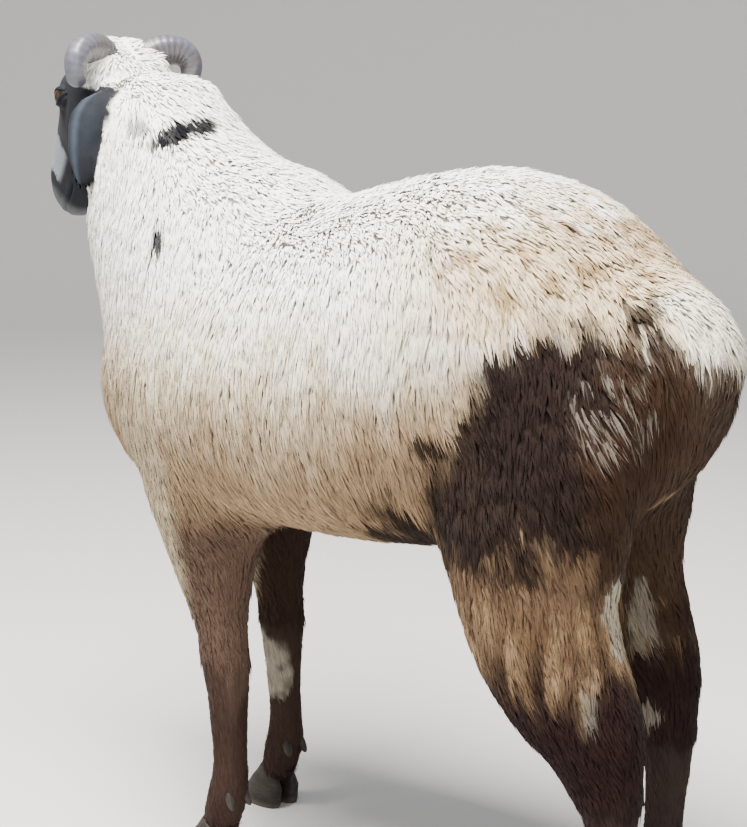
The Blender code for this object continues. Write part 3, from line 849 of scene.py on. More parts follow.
def leg_fronts(points):
    """1 on the leading edge of each fore leg above the knee, where the wool is cream."""
    total = np.zeros(len(points))
    for hand in HANDS:
        share = shares(points, f"leg_front_{hand}")
        inside = ((share > -0.1) & (share < 1.1)).all(1)
        lean = 0.30 + 0.22 * share[:, 2]
        wobble = 0.10 * (clouds(points, 0.02, 21) - 0.5)
        front = 1 - ease(lean - 0.05, lean + 0.10, share[:, 1] + wobble)
        total = np.maximum(total, inside * front * ease(0.42, 0.60, share[:, 2]))
    return total


print("mean wool colour", wool_colour(hide).mean(0).round(3))

# %% Colour of the face, and all together


def face_colour(points):
    """Black, with a grey stripe to the left of the nose, a grey muzzle, and ears with painted bluish
    highlights along their front edge and in their middle.
    """
    side, nose, brow = to_head(points).T
    tone = blend(BLACK, ASH, 0.25 * clouds(points, 0.02, 31))
    # A grey stripe along the left of the nose, from ahead of the eyes towards the muzzle.
    half = 0.020 * ease(0.040, 0.085, nose) - 0.008 * ease(0.115, 0.150, nose)
    half += 0.007 * (noise(points, 0.014, 33) - 0.5) + 0.004 * (noise(points, 0.0025, 36) - 0.5)
    middle = 0.008 + 0.011 * bell(nose - 0.122, 0.030)
    grey_stripe = 1 - ease(half - 0.0015, half + 0.0025, np.abs(side - middle))
    grey_stripe *= ease(0.045, 0.075, nose) * ease(-0.006, 0.004, brow)
    tone = blend(tone, linear("#848a91"), 0.75 * grey_stripe)
    muzzle = ease(0.150, 0.168, nose + 0.008 * (noise(points, 0.01, 34) - 0.5))
    tone = blend(tone, linear("#5d5f64"), 0.70 * muzzle)
    ears = on_ears(points)
    for sign in HANDS.values():
        near = np.flatnonzero((ears > 0) & (side * sign > 0))
        s, t, _ = ear_place(points[near], sign)
        # Painted highlight: a bluish grey along each ear's front edge and in its middle, standing in for
        # the sky's reflection.
        rim = 0.50 * bell(t - 0.60, 0.20)
        inside = 0.16 * bell(np.hypot((s - 0.42) / 0.20, t / 0.5), 1.0)
        grey = np.maximum(rim, inside) * ears[near] * (0.40 + 0.9 * clouds(points[near], 0.018, 35))
        tone[near] = blend(tone[near], linear("#414b59"), np.clip(grey, 0, 1))
    return tone


def coat_colour(points):
    """The linear colour of hide or coat at each point."""
    colour = wool_colour(points)
    legs = 1 - ease(0.335, 0.385, points[:, 2] + 0.03 * (clouds(points, 0.03, 8) - 0.5))
    colour = blend(colour, leg_colour(points), legs)
    colour = blend(colour, linear("#b3a488"), 0.80 * leg_fronts(points))
    for salt, (node, share, radii, tone, strength, fray) in enumerate(MARKS):
        amount = within(points, box_place(node, share), radii, fray, 40 + 2 * salt)
        colour = blend(colour, tone, strength * amount)
    for salt, (node, share, radii, tone, strength, size) in enumerate(FLECKS):
        area = within(points, box_place(node, share), radii, 0.5, 80 + 3 * salt)
        flecks = ease(0.52, 0.64, clouds(points, size, 81 + 3 * salt))
        colour = blend(colour, tone, strength * area * flecks)
    frayed = past_wool(points) + 0.008 * (noise(points, 0.012, 30) - 0.5)
    on_face = np.maximum(ease(-0.005, 0.001, frayed) * on_skull(points), on_ears(points))
    return blend(colour, face_colour(points), on_face)


hide_colour = coat_colour(hide)
print("mean hide colour", hide_colour.mean(0).round(3))

# %% [markdown]
# ## Locks
# Shorn wool grows back as locks: bundles of fibres that stick together at their tips. A lock
# here is a slim closed spike on three-sided rings. Its root lies in the hide, it leans with
# the lie of the coat, bends down as it grows, and is drawn towards its clump's middle.

# %% Where the locks stand


def scattered(points, faces, per_area, salt):
    """(roots, triangles, corner shares): per_area to the square metre, set out along the running sum."""
    a, b, c = points[faces].transpose(1, 0, 2)
    area = np.linalg.norm(np.cross(b - a, c - a), axis=1) / 2
    middle = (a + b + c) / 3
    running = np.cumsum(area * per_area(middle))
    draw = np.random.default_rng(salt)
    count = int(running[-1])
    at = np.arange(count) + draw.random(count)
    chosen = np.minimum(np.searchsorted(running, at), len(faces) - 1)
    u, v = draw.random((2, count))
    fold = u + v > 1
    u, v = np.where(fold, 1 - u, u), np.where(fold, 1 - v, v)
    share = np.stack([1 - u - v, u, v], axis=1)
    return (points[faces[chosen]] * share[..., None]).sum(1), chosen, share


def lie_of_coat(points, normals):
    """The way the hair points on the hide: down and back, from the nose up the face, down the ears."""
    way = np.broadcast_to((0, 0.42, -1.0), points.shape).copy()
    way[:, 1] += 0.8 * ease(0.4, 0.9, normals[:, 2])
    side, nose, brow = to_head(points).T
    outwards = head_side * np.sign(side)[:, None]
    ahead = on_skull(points)
    face = ease(-0.020, 0.010, nose) * ahead
    up_face = -head_nose + 0.25 * outwards - 0.15 * head_brow
    poll = (1 - ease(-0.01, 0.015, nose)) * ease(-0.01, 0.02, brow) * ahead
    way = way * (1 - face)[:, None] + up_face * face[:, None]
    way = way * (1 - 0.8 * poll)[:, None] + (head_nose * 0.5 + outwards) * poll[:, None]
    ears = on_ears(points)[:, None]
    way = way * (1 - ears) + np.array((0, 0.05, -1.0)) * ears
    turn = (clouds(points, 0.05, 51) - 0.5) * 0.9 * (1 - bareness(points))
    way = flat(way, normals)
    return unit(unit(way) + np.cross(normals, unit(way)) * turn[:, None] + 1e-4)


def clump_of(points, size, salt):
    """The middle of each point's clump: the nearest of the jittered points of a lattice."""
    at = points / size
    cell = np.floor(at)
    best = np.full(len(points), 1e9)
    middle = np.zeros_like(points)
    for step in np.ndindex(3, 3, 3):
        there = cell + np.array(step) - 1
        jitter = np.stack([hashed(there, salt + k) for k in range(3)], axis=1)
        spot = there + 0.1 + 0.8 * jitter
        far = ((spot - at) ** 2).sum(1)
        nearer = far < best
        best = np.where(nearer, far, best)
        middle[nearer] = spot[nearer]
    return middle * size


hide_normals = normals_of(hide, hide_faces)
hide_way = lie_of_coat(hide, hide_normals)
print("on average the coat points", hide_way.mean(0).round(2))

# %% Shape of the locks
SIDES = 3
RINGS = 2
LOCK_POINTS = SIDES * RINGS + 1
ROOT_DEPTH = 0.0012


def grown(locks, way, pull, curl, salt):
    """Closed spikes, all at once: (points, faces, tip share per point, u and v per corner).

    A lock's middle line at share t of its length is root + length ((t cos a + 0.25 t^2) way
    + (t - 0.45 t^2) sin a normal) + pull t^1.4 towards the clump's middle, lowered by
    bend s^2 / 2 at distance s along the hide, so that a lock follows a round body.
    """
    draw = np.random.default_rng(salt)
    count = len(locks["roots"])
    roots, normals = locks["roots"][:, None], locks["normals"][:, None]
    length, width, lift, bend = (locks[key][:, None, None] for key in ("length", "width", "lift", "bend"))
    to_clump = flat(locks["clump"] - locks["roots"], locks["normals"])[:, None]
    t = np.linspace(0, 1, RINGS + 1)[:, None]
    low = np.cos(lift) * t + 0.25 * t**2
    high = np.sin(lift) * (t - 0.45 * t**2)
    line = roots - normals * ROOT_DEPTH + length * (low * way[:, None] + high * normals)
    line = line + to_clump * (pull * t**1.4) - normals * (bend * (length * low) ** 2 / 2)
    phase = draw.random((count, 1, 1)) * 2 * math.pi
    wave = np.sin(phase + t * 5.0) - np.sin(phase)
    line = line + curl * length * wave * np.cross(way, locks["normals"])[:, None]
    along = unit(np.gradient(line, axis=1))
    across = unit(np.cross(along, np.broadcast_to(normals, along.shape)))
    over = np.cross(across, along)
    radius = width / 2 * ((0.72 + 0.9 * t) * (1 - t**1.6) ** 0.75)
    spin = (draw.random((count, 1, 1)) - 0.5) * 1.2
    angle = (math.pi / 2 + np.arange(SIDES) * 2 * math.pi / SIDES + spin)[..., None]
    ring = np.cos(angle) * across[:, :, None] + 0.62 * np.sin(angle) * over[:, :, None]
    body = line[:, :RINGS, None] + radius[:, :RINGS, None] * ring[:, :RINGS]
    points = np.concatenate([body.reshape(count, -1, 3), line[:, -1:]], axis=1)
    own, corner_u, corner_v = spike_faces()
    faces = (own[None] + (np.arange(count) * LOCK_POINTS)[:, None, None]).reshape(-1, 3)
    share = np.append(np.repeat(t[:RINGS, 0], SIDES), 1.0)
    return points.reshape(-1, 3), faces, np.tile(share, count), corner_u, corner_v


def spike_faces():
    """The triangles of one spike, and for each corner its place on the spike laid flat."""
    faces, us, vs = [], [], []
    for row in range(RINGS - 1):
        for k in range(SIDES):
            a, b = row * SIDES + k, row * SIDES + (k + 1) % SIDES
            faces += [(a, b + SIDES, b), (a, a + SIDES, b + SIDES)]
            us += [(k, k + 1, k + 1), (k, k, k + 1)]
            vs += [(row, row + 1, row), (row, row + 1, row + 1)]
    last = (RINGS - 1) * SIDES
    for k in range(SIDES):
        faces.append((last + (k + 1) % SIDES, last + k, LOCK_POINTS - 1))
        us.append((k + 1, k, k + 0.5))
        vs.append((RINGS - 1, RINGS - 1, RINGS))
    faces.append((0, 1, 2))
    us.append((0, 0.5, 1))
    vs.append((0, -0.3, 0))
    return np.array(faces), np.array(us) / SIDES, np.array(vs) / RINGS


print("a lock has", len(spike_faces()[0]), "triangles")

# %% A piece of the coat
PATCH = 0.003
SOFT_SHADE = 0.72


def unwrapped(roots, axis):
    """(u, v) of each root: the angle round a curve fitted along axis, and the way along axis."""
    axis = unit(np.array(axis, float))
    along = roots @ axis
    middle = np.stack([np.polyval(np.polyfit(along, roots[:, k], 2), along) for k in range(3)], 1)
    first = unit(np.cross(axis, (0.31, 0.17, 0.93)))
    off = roots - middle
    u = np.arctan2(off @ np.cross(axis, first), off @ first) / (2 * math.pi)
    uv = np.stack([u, along], axis=1)
    low, high = uv.min(0), uv.max(0)
    return 0.01 + 0.98 * (uv - low) / (high - low)


def soften(piece, points, faces, outwards):
    """Turns each shading normal part of the way to the hide's, as light spreads among fibres."""
    mixed = normals_of(points, faces) * (1 - SOFT_SHADE) + outwards * SOFT_SHADE
    piece.data.normals_split_custom_set_from_vertices(unit(mixed))


def coat_piece(name, locks, axis, material, pull, curl, salt):
    """One mesh of locks with its colours and its map."""
    roots, normals = locks["roots"], locks["normals"]
    way = lie_of_coat(roots, normals)
    points, faces, share, corner_u, corner_v = grown(locks, way, pull, curl, salt)
    piece = new_piece(name, points, faces, material)
    soften(piece, points, faces, np.repeat(normals, LOCK_POINTS, axis=0))
    # Painted shade: each lock is darker at its root, deep among the others, and lighter towards its tip.
    shade = 0.90 + 0.14 * share**0.8
    set_colour(piece, np.clip(np.repeat(locks["tone"], LOCK_POINTS, axis=0) * shade[:, None], 0, 1))
    place = unwrapped(roots, axis)
    layer = piece.data.uv_layers.new(name="OFBake")
    u = place[:, 0, None, None] + PATCH * (corner_u[None] - 0.5)
    v = place[:, 1, None, None] + PATCH * (corner_v[None] - 0.5)
    layer.uv.foreach_set("vector", np.stack([u, v], axis=-1).astype(np.float32).ravel())
    print(f"{name}: {len(roots)} locks, {len(faces)} triangles")
    return piece


# %% [markdown]
# ## Materials
# A material starts from what the thing is made of. One small function adds a node with its
# settings and links. Everything that is the same all over is set on the shader's own socket.

# %% Material tools


def new_material(name, **sockets):
    """A material with its Principled shader's sockets set."""
    made = bpy.data.materials.new(name)
    made.use_nodes = True
    shader = made.node_tree.nodes["Principled BSDF"]
    for key, value in sockets.items():
        shader.inputs[key.replace("_", " ")].default_value = value
    return made, made.node_tree, shader


def add(tree, kind, settings=None, **links):
    """A node with its settings. Each link is socket=value or socket=another node's output.

    A socket goes by its name, with _ for a space, or by i and its number.
    """
    node = tree.nodes.new(f"ShaderNode{kind}")
    for key, value in (settings or {}).items():
        setattr(node, key, value)
    for key, value in links.items():
        socket = node.inputs[int(key[1:]) if key[1:].isdigit() else key.replace("_", " ")]
        if isinstance(value, bpy.types.NodeSocket):
            tree.links.new(value, socket)
        else:
            socket.default_value = value
    return node


def tint(tree, colour, factor, low, high):
    """colour made darker or lighter: times a number that runs from low to high with factor."""
    amount = add(tree, "MapRange", To_Min=low, To_Max=high, Value=factor)
    mixed = add(tree, "VectorMath", {"operation": "SCALE"}, i0=colour, Scale=amount.outputs[0])
    return mixed.outputs[0]


# %% Wool and hair
# The size of one bump of each pattern, in metres. Fibres, hairs and pores are less than 0.1 mm
# across, so all of them are drawn ten or more times as coarse, or they wouldn't show.
WOOL_FIBRE = 0.0018
HAIR_GRAIN = 1 / 900
NAP = 1 / 1100
PORE = 1 / 260


def wool_material():
    """Raw wool: crimped fibres scatter light all ways, so it is matt with a soft edge.

    A real fibre is 0.03 mm thick, so the streaks are drawn 1.8 mm apart to show at all. They
    run down the body, as most locks do, and stand as bump on each lock.
    """
    made, tree, shader = new_material(
        "raw_wool", Roughness=0.90, Sheen_Weight=0.03, Sheen_Roughness=0.5, Specular_IOR_Level=0.06
    )
    place = add(tree, "TexCoord")
    drawn = add(tree, "Mapping", i0=place.outputs["Object"], Scale=(1.0, 1.0, 0.35))
    fibre = add(tree, "TexNoise", Vector=drawn.outputs[0], Scale=1 / WOOL_FIBRE, Detail=3.0)
    coat = add(tree, "Attribute", {"attribute_name": "coat"})
    tone = tint(tree, coat.outputs["Color"], fibre.outputs[0], 0.84, 1.14)
    tree.links.new(tone, shader.inputs["Base Color"])
    crimp = add(tree, "Bump", Strength=0.7, Distance=0.0010, Height=fibre.outputs[0])
    tree.links.new(crimp.outputs[0], shader.inputs["Normal"])
    return made


def hair_material():
    """Short guard hair: smoother than wool, so it has a faint gloss."""
    made, tree, shader = new_material(
        "short_hair", Roughness=0.66, Sheen_Weight=0.02, Sheen_Roughness=0.4, Specular_IOR_Level=0.12
    )
    place = add(tree, "TexCoord")
    fibre = add(tree, "TexNoise", Vector=place.outputs["Object"], Scale=1 / HAIR_GRAIN, Detail=2.0)
    coat = add(tree, "Attribute", {"attribute_name": "coat"})
    tone = tint(tree, coat.outputs["Color"], fibre.outputs[0], 0.8, 1.15)
    tree.links.new(tone, shader.inputs["Base Color"])
    return made


def hide_material():
    """The hide with the hair's roots: matt, with a fine nap as bump, stretched down the body."""
    made, tree, shader = new_material("hide", Roughness=0.78, Sheen_Weight=0.02, Specular_IOR_Level=0.12)
    place = add(tree, "TexCoord")
    nap = add(tree, "Mapping", i0=place.outputs["Object"], Scale=(1.0, 1.0, 0.4))
    fibre = add(tree, "TexNoise", Vector=nap.outputs[0], Scale=1 / NAP, Detail=3.0)
    pores = add(tree, "TexNoise", Vector=place.outputs["Object"], Scale=1 / PORE, Detail=3.0)
    coat = add(tree, "Attribute", {"attribute_name": "coat"})
    tone = tint(tree, coat.outputs["Color"], fibre.outputs[0], 0.78, 1.18)
    tone = tint(tree, tone, pores.outputs[0], 0.85, 1.12)
    tree.links.new(tone, shader.inputs["Base Color"])
    bump = add(tree, "Bump", Strength=0.5, Distance=0.0006, Height=fibre.outputs[0])
    tree.links.new(bump.outputs[0], shader.inputs["Normal"])
    return made


wool = wool_material()
hair = hair_material()
hide_finish = hide_material()
print("materials:", wool.name, hair.name, hide_finish.name)

# %% The hide as a piece
skin = new_piece("hide", hide, hide_faces, hide_finish)
set_colour(skin, hide_colour)
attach(skin, "root")
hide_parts("trunk", "neck", "head", "tail", *[f"leg_{leg}" for leg in LEGS], "ear_left", "ear_right")
print("hide:", len(hide_faces), "triangles")

# %% [markdown]
# ## The coat
# Wool covers the trunk, neck, poll, tail and legs down to knee and hock. Its length is worked
# out from the coat's depth: a lock of length L that leaves the hide at angle a ends
# 0.55 L sin a above it. It stands steeper along the back, where the edge looks fuzzy, and lies
# flatter on the flanks. It is dealt out to several pieces, each small enough to export.

# %% How the hide bends
# The most that the hide may curve in and out, in 1 / metres.
FLATTEST = -4
ROUNDEST = 30


def bending(points, faces, normals, way):
    """How fast the hide curves away along way: the mean of dn . dp / |dp|^2 over a point's edges."""
    ends, others = edge_ends(faces)
    step = points[others] - points[ends]
    far = np.maximum((step**2).sum(1), 1e-10)
    rate = ((normals[others] - normals[ends]) * step).sum(1) / far
    weight = (step * way[ends]).sum(1) ** 2 / far
    total = np.bincount(ends, rate * weight, len(points))
    mean = total / np.maximum(np.bincount(ends, weight, len(points)), 1e-9)
    evened = smoothed(mean[:, None], faces, 12, 0.5)[:, 0]
    return np.clip(evened, FLATTEST, ROUNDEST)


hide_bend = bending(hide, hide_faces, hide_normals, hide_way)
print("the hide curves with radii down to", round(1 / hide_bend.max(), 3), "m")

# %% Set the wool
# Locks to the square metre; then in metres a lock's width and greatest length, its clump's
# size, and how far inside a horn's surface the last locks stand, so that no gap shows.
WOOL_PER_AREA = 118000
WOOL_WIDTH = 0.0032
WOOL_LONGEST = 0.030
CLUMP = 0.012
INTO_HORN = 0.0015


def rooted(per_area, salt):
    """Locks yet to be shaped: their roots, and the hide's normal and bending at each."""
    roots, chosen, share = scattered(hide, hide_faces, per_area, salt)
    ends = hide_faces[chosen]
    normals = unit((hide_normals[ends] * share[..., None]).sum(1))
    return {"roots": roots, "normals": normals, "bend": (hide_bend[ends] * share).sum(1)}


def picked(locks, mine):
    """The same facts of fewer locks."""
    return {key: values[mine] for key, values in locks.items()}


def wool_density(points):
    """Locks to the square metre: none where the hair is short, and none inside the horns."""
    bare = ease(0.55, 0.85, bareness(points))
    return WOOL_PER_AREA * (1 - bare) * (clear_of_horns(points) > -INTO_HORN)


def wool_shape(roots, normals, draw):
    """Length, width and lift of each lock: steep on the back, hanging below, flatter on the sides."""
    top = ease(0.35, 0.85, normals[:, 2])
    under = ease(0.35, 0.85, -normals[:, 2])
    front = ease(0.3, 0.9, -normals[:, 1]) * (roots[:, 1] < neck_high[1])
    crown = ease(-0.070, -0.030, to_head(roots)[:, 1]) * on_skull(roots)
    at_horn = 1 - ease(0.001, 0.010, clear_of_horns(roots))
    lift = 34 + 14 * top + 6 * under + 5 * front + 6 * crown + 14 * at_horn
    lift = np.radians(lift + draw.normal(0, 6, len(roots)))
    depth = np.maximum(coat_depth(roots), 0.0045) + 0.0012
    clump_size = hashed(np.round(clump_of(roots, CLUMP, 61) * 1e4), 67)
    length = 0.88 * depth / (0.55 * np.sin(np.maximum(lift, 0.3)))
    length *= draw.uniform(0.75, 1.10, len(roots))
    length *= 0.84 + 0.24 * clump_size
    length = np.minimum(length, WOOL_LONGEST - 0.015 * crown)
    length *= 1 - 0.45 * beside_ears(roots, 0.014)
    length *= 1 - 0.45 * ease(-0.022, -0.004, past_wool(roots)) * on_skull(roots)
    width = WOOL_WIDTH * (0.65 + 0.35 * ease(0.004, 0.010, depth)) * draw.uniform(0.75, 1.2, len(roots))
    return length, width, lift


def shown_place(roots, normals, length):
    """Where a lock shows past the locks that overlap it: 0.6 of its length along the hide."""
    return roots + lie_of_coat(roots, normals) * (0.6 * length)[:, None]


draw = np.random.default_rng(7)
fleece = rooted(wool_density, 3)
roots, normals = fleece["roots"], fleece["normals"]
length, width, lift = wool_shape(roots, normals, draw)
clump = clump_of(roots * (1, 1, 0.6), CLUMP, 61) / (1, 1, 0.6)
tone = coat_colour(shown_place(roots, normals, length))
tone *= (0.92 + 0.12 * hashed(np.round(clump * 1e4), 5))[:, None]
tone *= draw.uniform(0.95, 1.05, (len(roots), 1))
fleece.update(length=length, width=width, lift=lift, clump=clump, tone=tone)
print("wool:", len(roots), "locks,", round(length.mean() * 1000, 1), "mm long on average")

# %% Part the wool into pieces
NECK_CUT = np.array((0, -0.164, 0.600))
NECK_WAY = np.array((0, -0.76, 0.65))
FORELEG_TOP = 0.37
HINDLEG_TOP = 0.42
TAIL_FREE = tail_low[1] + 0.07
SHOULDER_END = MIDDLE_AHEAD - 0.08
RUMP_START = MIDDLE_AHEAD + 0.11

behind = roots[:, 1] > MIDDLE_AHEAD
on_neck = (roots - NECK_CUT) @ NECK_WAY > 0
low_down = roots[:, 2] < np.where(behind, HINDLEG_TOP, FORELEG_TOP)
on_tail = (in_box(roots, "tail", 0.002) > 0.5) & (roots[:, 1] > TAIL_FREE)
on_leg = low_down & ~on_neck & ~on_tail
on_trunk = ~(on_neck | low_down | on_tail)
fore_part = roots[:, 1] < SHOULDER_END
rear_part = roots[:, 1] > RUMP_START
REGIONS = {"tail": (on_tail, (0, 1, 0))}
for hand, mine in (("left", roots[:, 0] > 0), ("right", roots[:, 0] <= 0)):
    REGIONS[f"neck_{hand}"] = (on_neck & mine, (0, -0.5, 1))
    REGIONS[f"foreleg_{hand}"] = (on_leg & mine & ~behind, (0, 0, 1))
    REGIONS[f"hindleg_{hand}"] = (on_leg & mine & behind, (0, 0, 1))
    REGIONS[f"shoulder_{hand}"] = (on_trunk & mine & fore_part, (0, 1, 0))
    REGIONS[f"flank_{hand}"] = (on_trunk & mine & ~fore_part & ~rear_part, (0, 1, 0))
    REGIONS[f"rump_{hand}"] = (on_trunk & mine & rear_part, (0, 1, 0))
for salt, (name, (mine, axis)) in enumerate(REGIONS.items()):
    piece = coat_piece(f"wool_{name}", picked(fleece, mine), axis, wool, 0.40, 0.04, 100 + salt)
    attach(piece, "root")

# %% [markdown]
# ## Short hair
# Face, ears and the legs below knee and hock carry flat hair. The hide's bump shows most of
# it, and small spikes break its outline, smallest at the muzzle and round the eyes and
# longest where they hang over the hooves.

# %% Set the short hair
HAIR_PER_AREA = 190000
HAIR_CLUMP = 0.006
HEAD_BOTTOM = 0.5


def hair_density(points):
    """Hairs to the square metre: none on the eyeballs, the lips' edge, the horns and in the wool."""
    nose = to_head(points)[:, 1]
    bare = ease(0.40, 0.65, bareness(points)) * ease(0.0125, 0.0150, from_eyes(points))
    lips = ease(0.166, 0.174, nose) * (points[:, 1] < neck_low[1])
    return HAIR_PER_AREA * bare * (1 - lips) * (clear_of_horns(points) > 0.0008)


short = rooted(hair_density, 11)
roots, normals = short["roots"], short["normals"]
on_head = (roots[:, 1] < BEHIND_SKULL) & (roots[:, 2] > HEAD_BOTTOM)
near_eye = 1 - ease(0.014, 0.030, from_eyes(roots))
at_lips = ease(0.120, 0.165, to_head(roots)[:, 1]) * on_head
small = np.maximum(near_eye, at_lips)
at_coronet = 1 - ease(0.040, 0.056, roots[:, 2])
length = 0.0068 - 0.0034 * small + 0.0040 * ~on_head + 0.0070 * at_coronet
length *= draw.uniform(0.8, 1.2, len(roots))
width = (0.0011 - 0.0004 * small + 0.0005 * ~on_head) * draw.uniform(0.8, 1.2, len(roots))
lift = np.radians(12 + 12 * ~on_head + 16 * at_coronet + draw.normal(0, 4, len(roots)))
tone = coat_colour(shown_place(roots, normals, length)) * draw.uniform(0.90, 1.10, (len(roots), 1))
short.update(length=length, width=width, lift=lift, clump=clump_of(roots, HAIR_CLUMP, 71), tone=tone)
ahead = roots[:, 1] < MIDDLE_AHEAD
for name, mine, axis, slot in (
    ("face", on_head, head_nose, "dark_hair"),
    ("shanks_fore", ~on_head & ahead, (0, 0, 1), "dark_hair"),
    ("shanks_hind", ~on_head & ~ahead, (0, 0, 1), "dark_hair"),
):
    piece = coat_piece(f"hair_{name}", picked(short, mine), axis, hair, 0.15, 0.02, 200)
    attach(piece, "root")

# %% [markdown]
# ## Horns
# Horn is a sheath of keratin that grows at its root, so it carries rings, deep near the root
# and faint at the blunt tip. The grid runs along the horn's line and round it, and the rings
# are real swellings of it. A lathe couldn't follow the curl.

# %% Grow the horns
HORN_ROWS = 150
HORN_AROUND = 44
HORN_OVAL = 0.88
HORN_GRAIN = 1 / 420
RING_STEP = 0.0058
TIP_ROUND = 0.010


def horn_grid(hand):
    """Ovals 0.88 as wide as deep on the horn's line, swollen by 0.0005 (1 - 0.9 t) c^2 in rings.

    c is cos(pi r), where r counts the rings from the root, and seven faint ribs run along the
    horn. Over the last centimetre the radius falls as sqrt(1 - x^2), which rounds the tip.
    """
    t = np.linspace(0, 1, HORN_ROWS)
    line = horn_middle(t, hand)
    along = unit(np.gradient(line, axis=0))
    across = unit(np.cross(along, head_nose))
    deep = np.cross(along, across)
    run = np.concatenate([[0], np.cumsum(np.linalg.norm(np.diff(line, axis=0), axis=1))])
    to_tip = np.clip((run - run[-1] + TIP_ROUND) / TIP_ROUND, 0, 1)
    angle = np.arange(HORN_AROUND) * 2 * math.pi / HORN_AROUND
    wander = 0.10 * np.sin(angle * 2 + hand) + 0.06 * np.sin(angle * 3)
    ring = np.cos(math.pi * (run[:, None] / RING_STEP + wander)) ** 2
    swell = 0.0005 * (1 - 0.9 * t[:, None]) * ring + 0.00025 * np.sin(angle * 7 + 3 * t[:, None])
    radius = horn_width(t)[:, None] * np.sqrt(1 - to_tip[:, None] ** 2) + swell * (1 - to_tip[:, None])
    way = HORN_OVAL * np.cos(angle)[:, None] * across[:, None] + np.sin(angle)[:, None] * deep[:, None]
    points, faces = closed_grid((line[:, None] + radius[..., None] * way)[:-1], line[0], line[-1])
    groove = np.append((1 - ring[:-1]).ravel(), (0.5, 0.5))
    share = np.append(np.repeat(t[:-1], HORN_AROUND), (0, 1))
    return points, faces, groove, share


def horn_colours(points, groove, share):
    """Lavender grey with brown patches, darker in the grooves, paler in streaks and at the tip."""
    streak = clouds(points, 0.007, 91)
    tone = blend(linear("#3c3d47"), linear("#5c5d6a"), 0.45 * share + 0.55 * streak)
    tone = blend(tone, linear("#28262c"), 0.50 * groove * (1 - 0.75 * share))
    return blend(tone, linear("#564c40"), 0.40 * ease(0.52, 0.72, clouds(points, 0.016, 93)))


print("a horn has", HORN_ROWS, "rows of", HORN_AROUND, "points")

# %% Set the horns


def horn_material():
    """Keratin, rubbed on fences: satin, with a fine grain as bump."""
    made, tree, shader = new_material("horn_keratin", Roughness=0.42, IOR=1.55, Coat_Weight=0.08)
    place = add(tree, "TexCoord")
    grain = add(tree, "TexNoise", Vector=place.outputs["Object"], Scale=1 / HORN_GRAIN, Detail=4.0)
    painted = add(tree, "Attribute", {"attribute_name": "coat"})
    tone = tint(tree, painted.outputs["Color"], grain.outputs[0], 0.85, 1.15)
    tree.links.new(tone, shader.inputs["Base Color"])
    bump = add(tree, "Bump", Strength=0.35, Distance=0.0004, Height=grain.outputs[0])
    tree.links.new(bump.outputs[0], shader.inputs["Normal"])
    return made


keratin = horn_material()
for hand, sign in HANDS.items():
    points, faces, groove, share = horn_grid(sign)
    horn = new_piece(f"horn_sheath_{hand}", points, faces, keratin)
    set_colour(horn, np.clip(horn_colours(points, groove, share), 0, 1))
    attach(horn, "root")
    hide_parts(f"horn_{hand}")
    print(f"horn_{hand}:", len(faces), "triangles")

# %% [markdown]
# ## Eyes
# A sheep's eye is a wet ball with a dark amber iris and a pupil like a slot laid along the slit
# of the lids, under a clear bulge. The ball's rings run round the way it looks, closer together
# at the front, so that iris and pupil have crisp edges as colours of points.

# %% Make the eyeballs
EYE_ROWS = 84
EYE_AROUND = 96
CORNEA = 0.0006
IRIS = 0.0092
PUPIL = (0.0046, 0.0017)


def eye_grid(hand, middle):
    """Rings at angle pi (i/n)^1.3 from the eye's axis; radius R + 0.0006 under the cornea."""
    look, along, high = eye_axes(hand)
    turn = math.pi * (np.arange(1, EYE_ROWS) / EYE_ROWS) ** 1.3
    angle = np.arange(EYE_AROUND) * 2 * math.pi / EYE_AROUND
    radius = EYE_RADIUS + CORNEA * (1 - ease(0.45, 0.85, turn))
    flat_way = np.cos(angle)[:, None] * along + np.sin(angle)[:, None] * high
    rings = np.cos(turn)[:, None, None] * look + np.sin(turn)[:, None, None] * flat_way
    rings = middle + radius[:, None, None] * rings
    return closed_grid(rings, middle + look * (EYE_RADIUS + CORNEA), middle - look * EYE_RADIUS)


def eye_colours(points, hand, middle):
    """Black slot (|a/A|^3 + |b/B|^3 < 1), dark amber iris with rays and a rim, brown at the back."""
    look, along, high = eye_axes(hand)
    a, b = (points - middle) @ along, (points - middle) @ high
    out = np.hypot(a, b)
    rays = noise(np.stack([np.arctan2(b, a) * 9, out * 60, out * 0], 1), 1.0, 97)
    tone = blend(linear("#1d130a"), linear("#3e2a13"), ease(0.2, 0.9, rays) * ease(0.002, 0.007, out))
    tone = blend(tone, linear("#140d0a"), ease(0.76 * IRIS, 0.94 * IRIS, out))
    slot = np.abs(a / PUPIL[0]) ** 3 + np.abs(b / PUPIL[1]) ** 3
    tone = blend(tone, linear("#020203"), 1 - ease(0.75, 1.25, slot))
    return blend(tone, linear("#1c1512"), (points - middle) @ look < 0)


def eye_material():
    """A dull ball under tears: their coat is as smooth as water, so the lamps make small glints."""
    made, tree, shader = new_material(
        "wet_eye", Roughness=0.30, IOR=1.38, Coat_Weight=0.40, Coat_Roughness=0.03, Specular_IOR_Level=0.2
    )
    tone = add(tree, "Attribute", {"attribute_name": "coat"})
    tree.links.new(tone.outputs["Color"], shader.inputs["Base Color"])
    return made


wet_eye = eye_material()
for hand, sign in HANDS.items():
    points, faces = eye_grid(sign, eye_middle[hand])
    ball = new_piece(f"eyeball_{hand}", points, faces, wet_eye)
    set_colour(ball, eye_colours(points, sign, eye_middle[hand]))
    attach(ball, "root")
    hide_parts(f"eye_{hand}")
print("eyes:", len(faces), "triangles each")

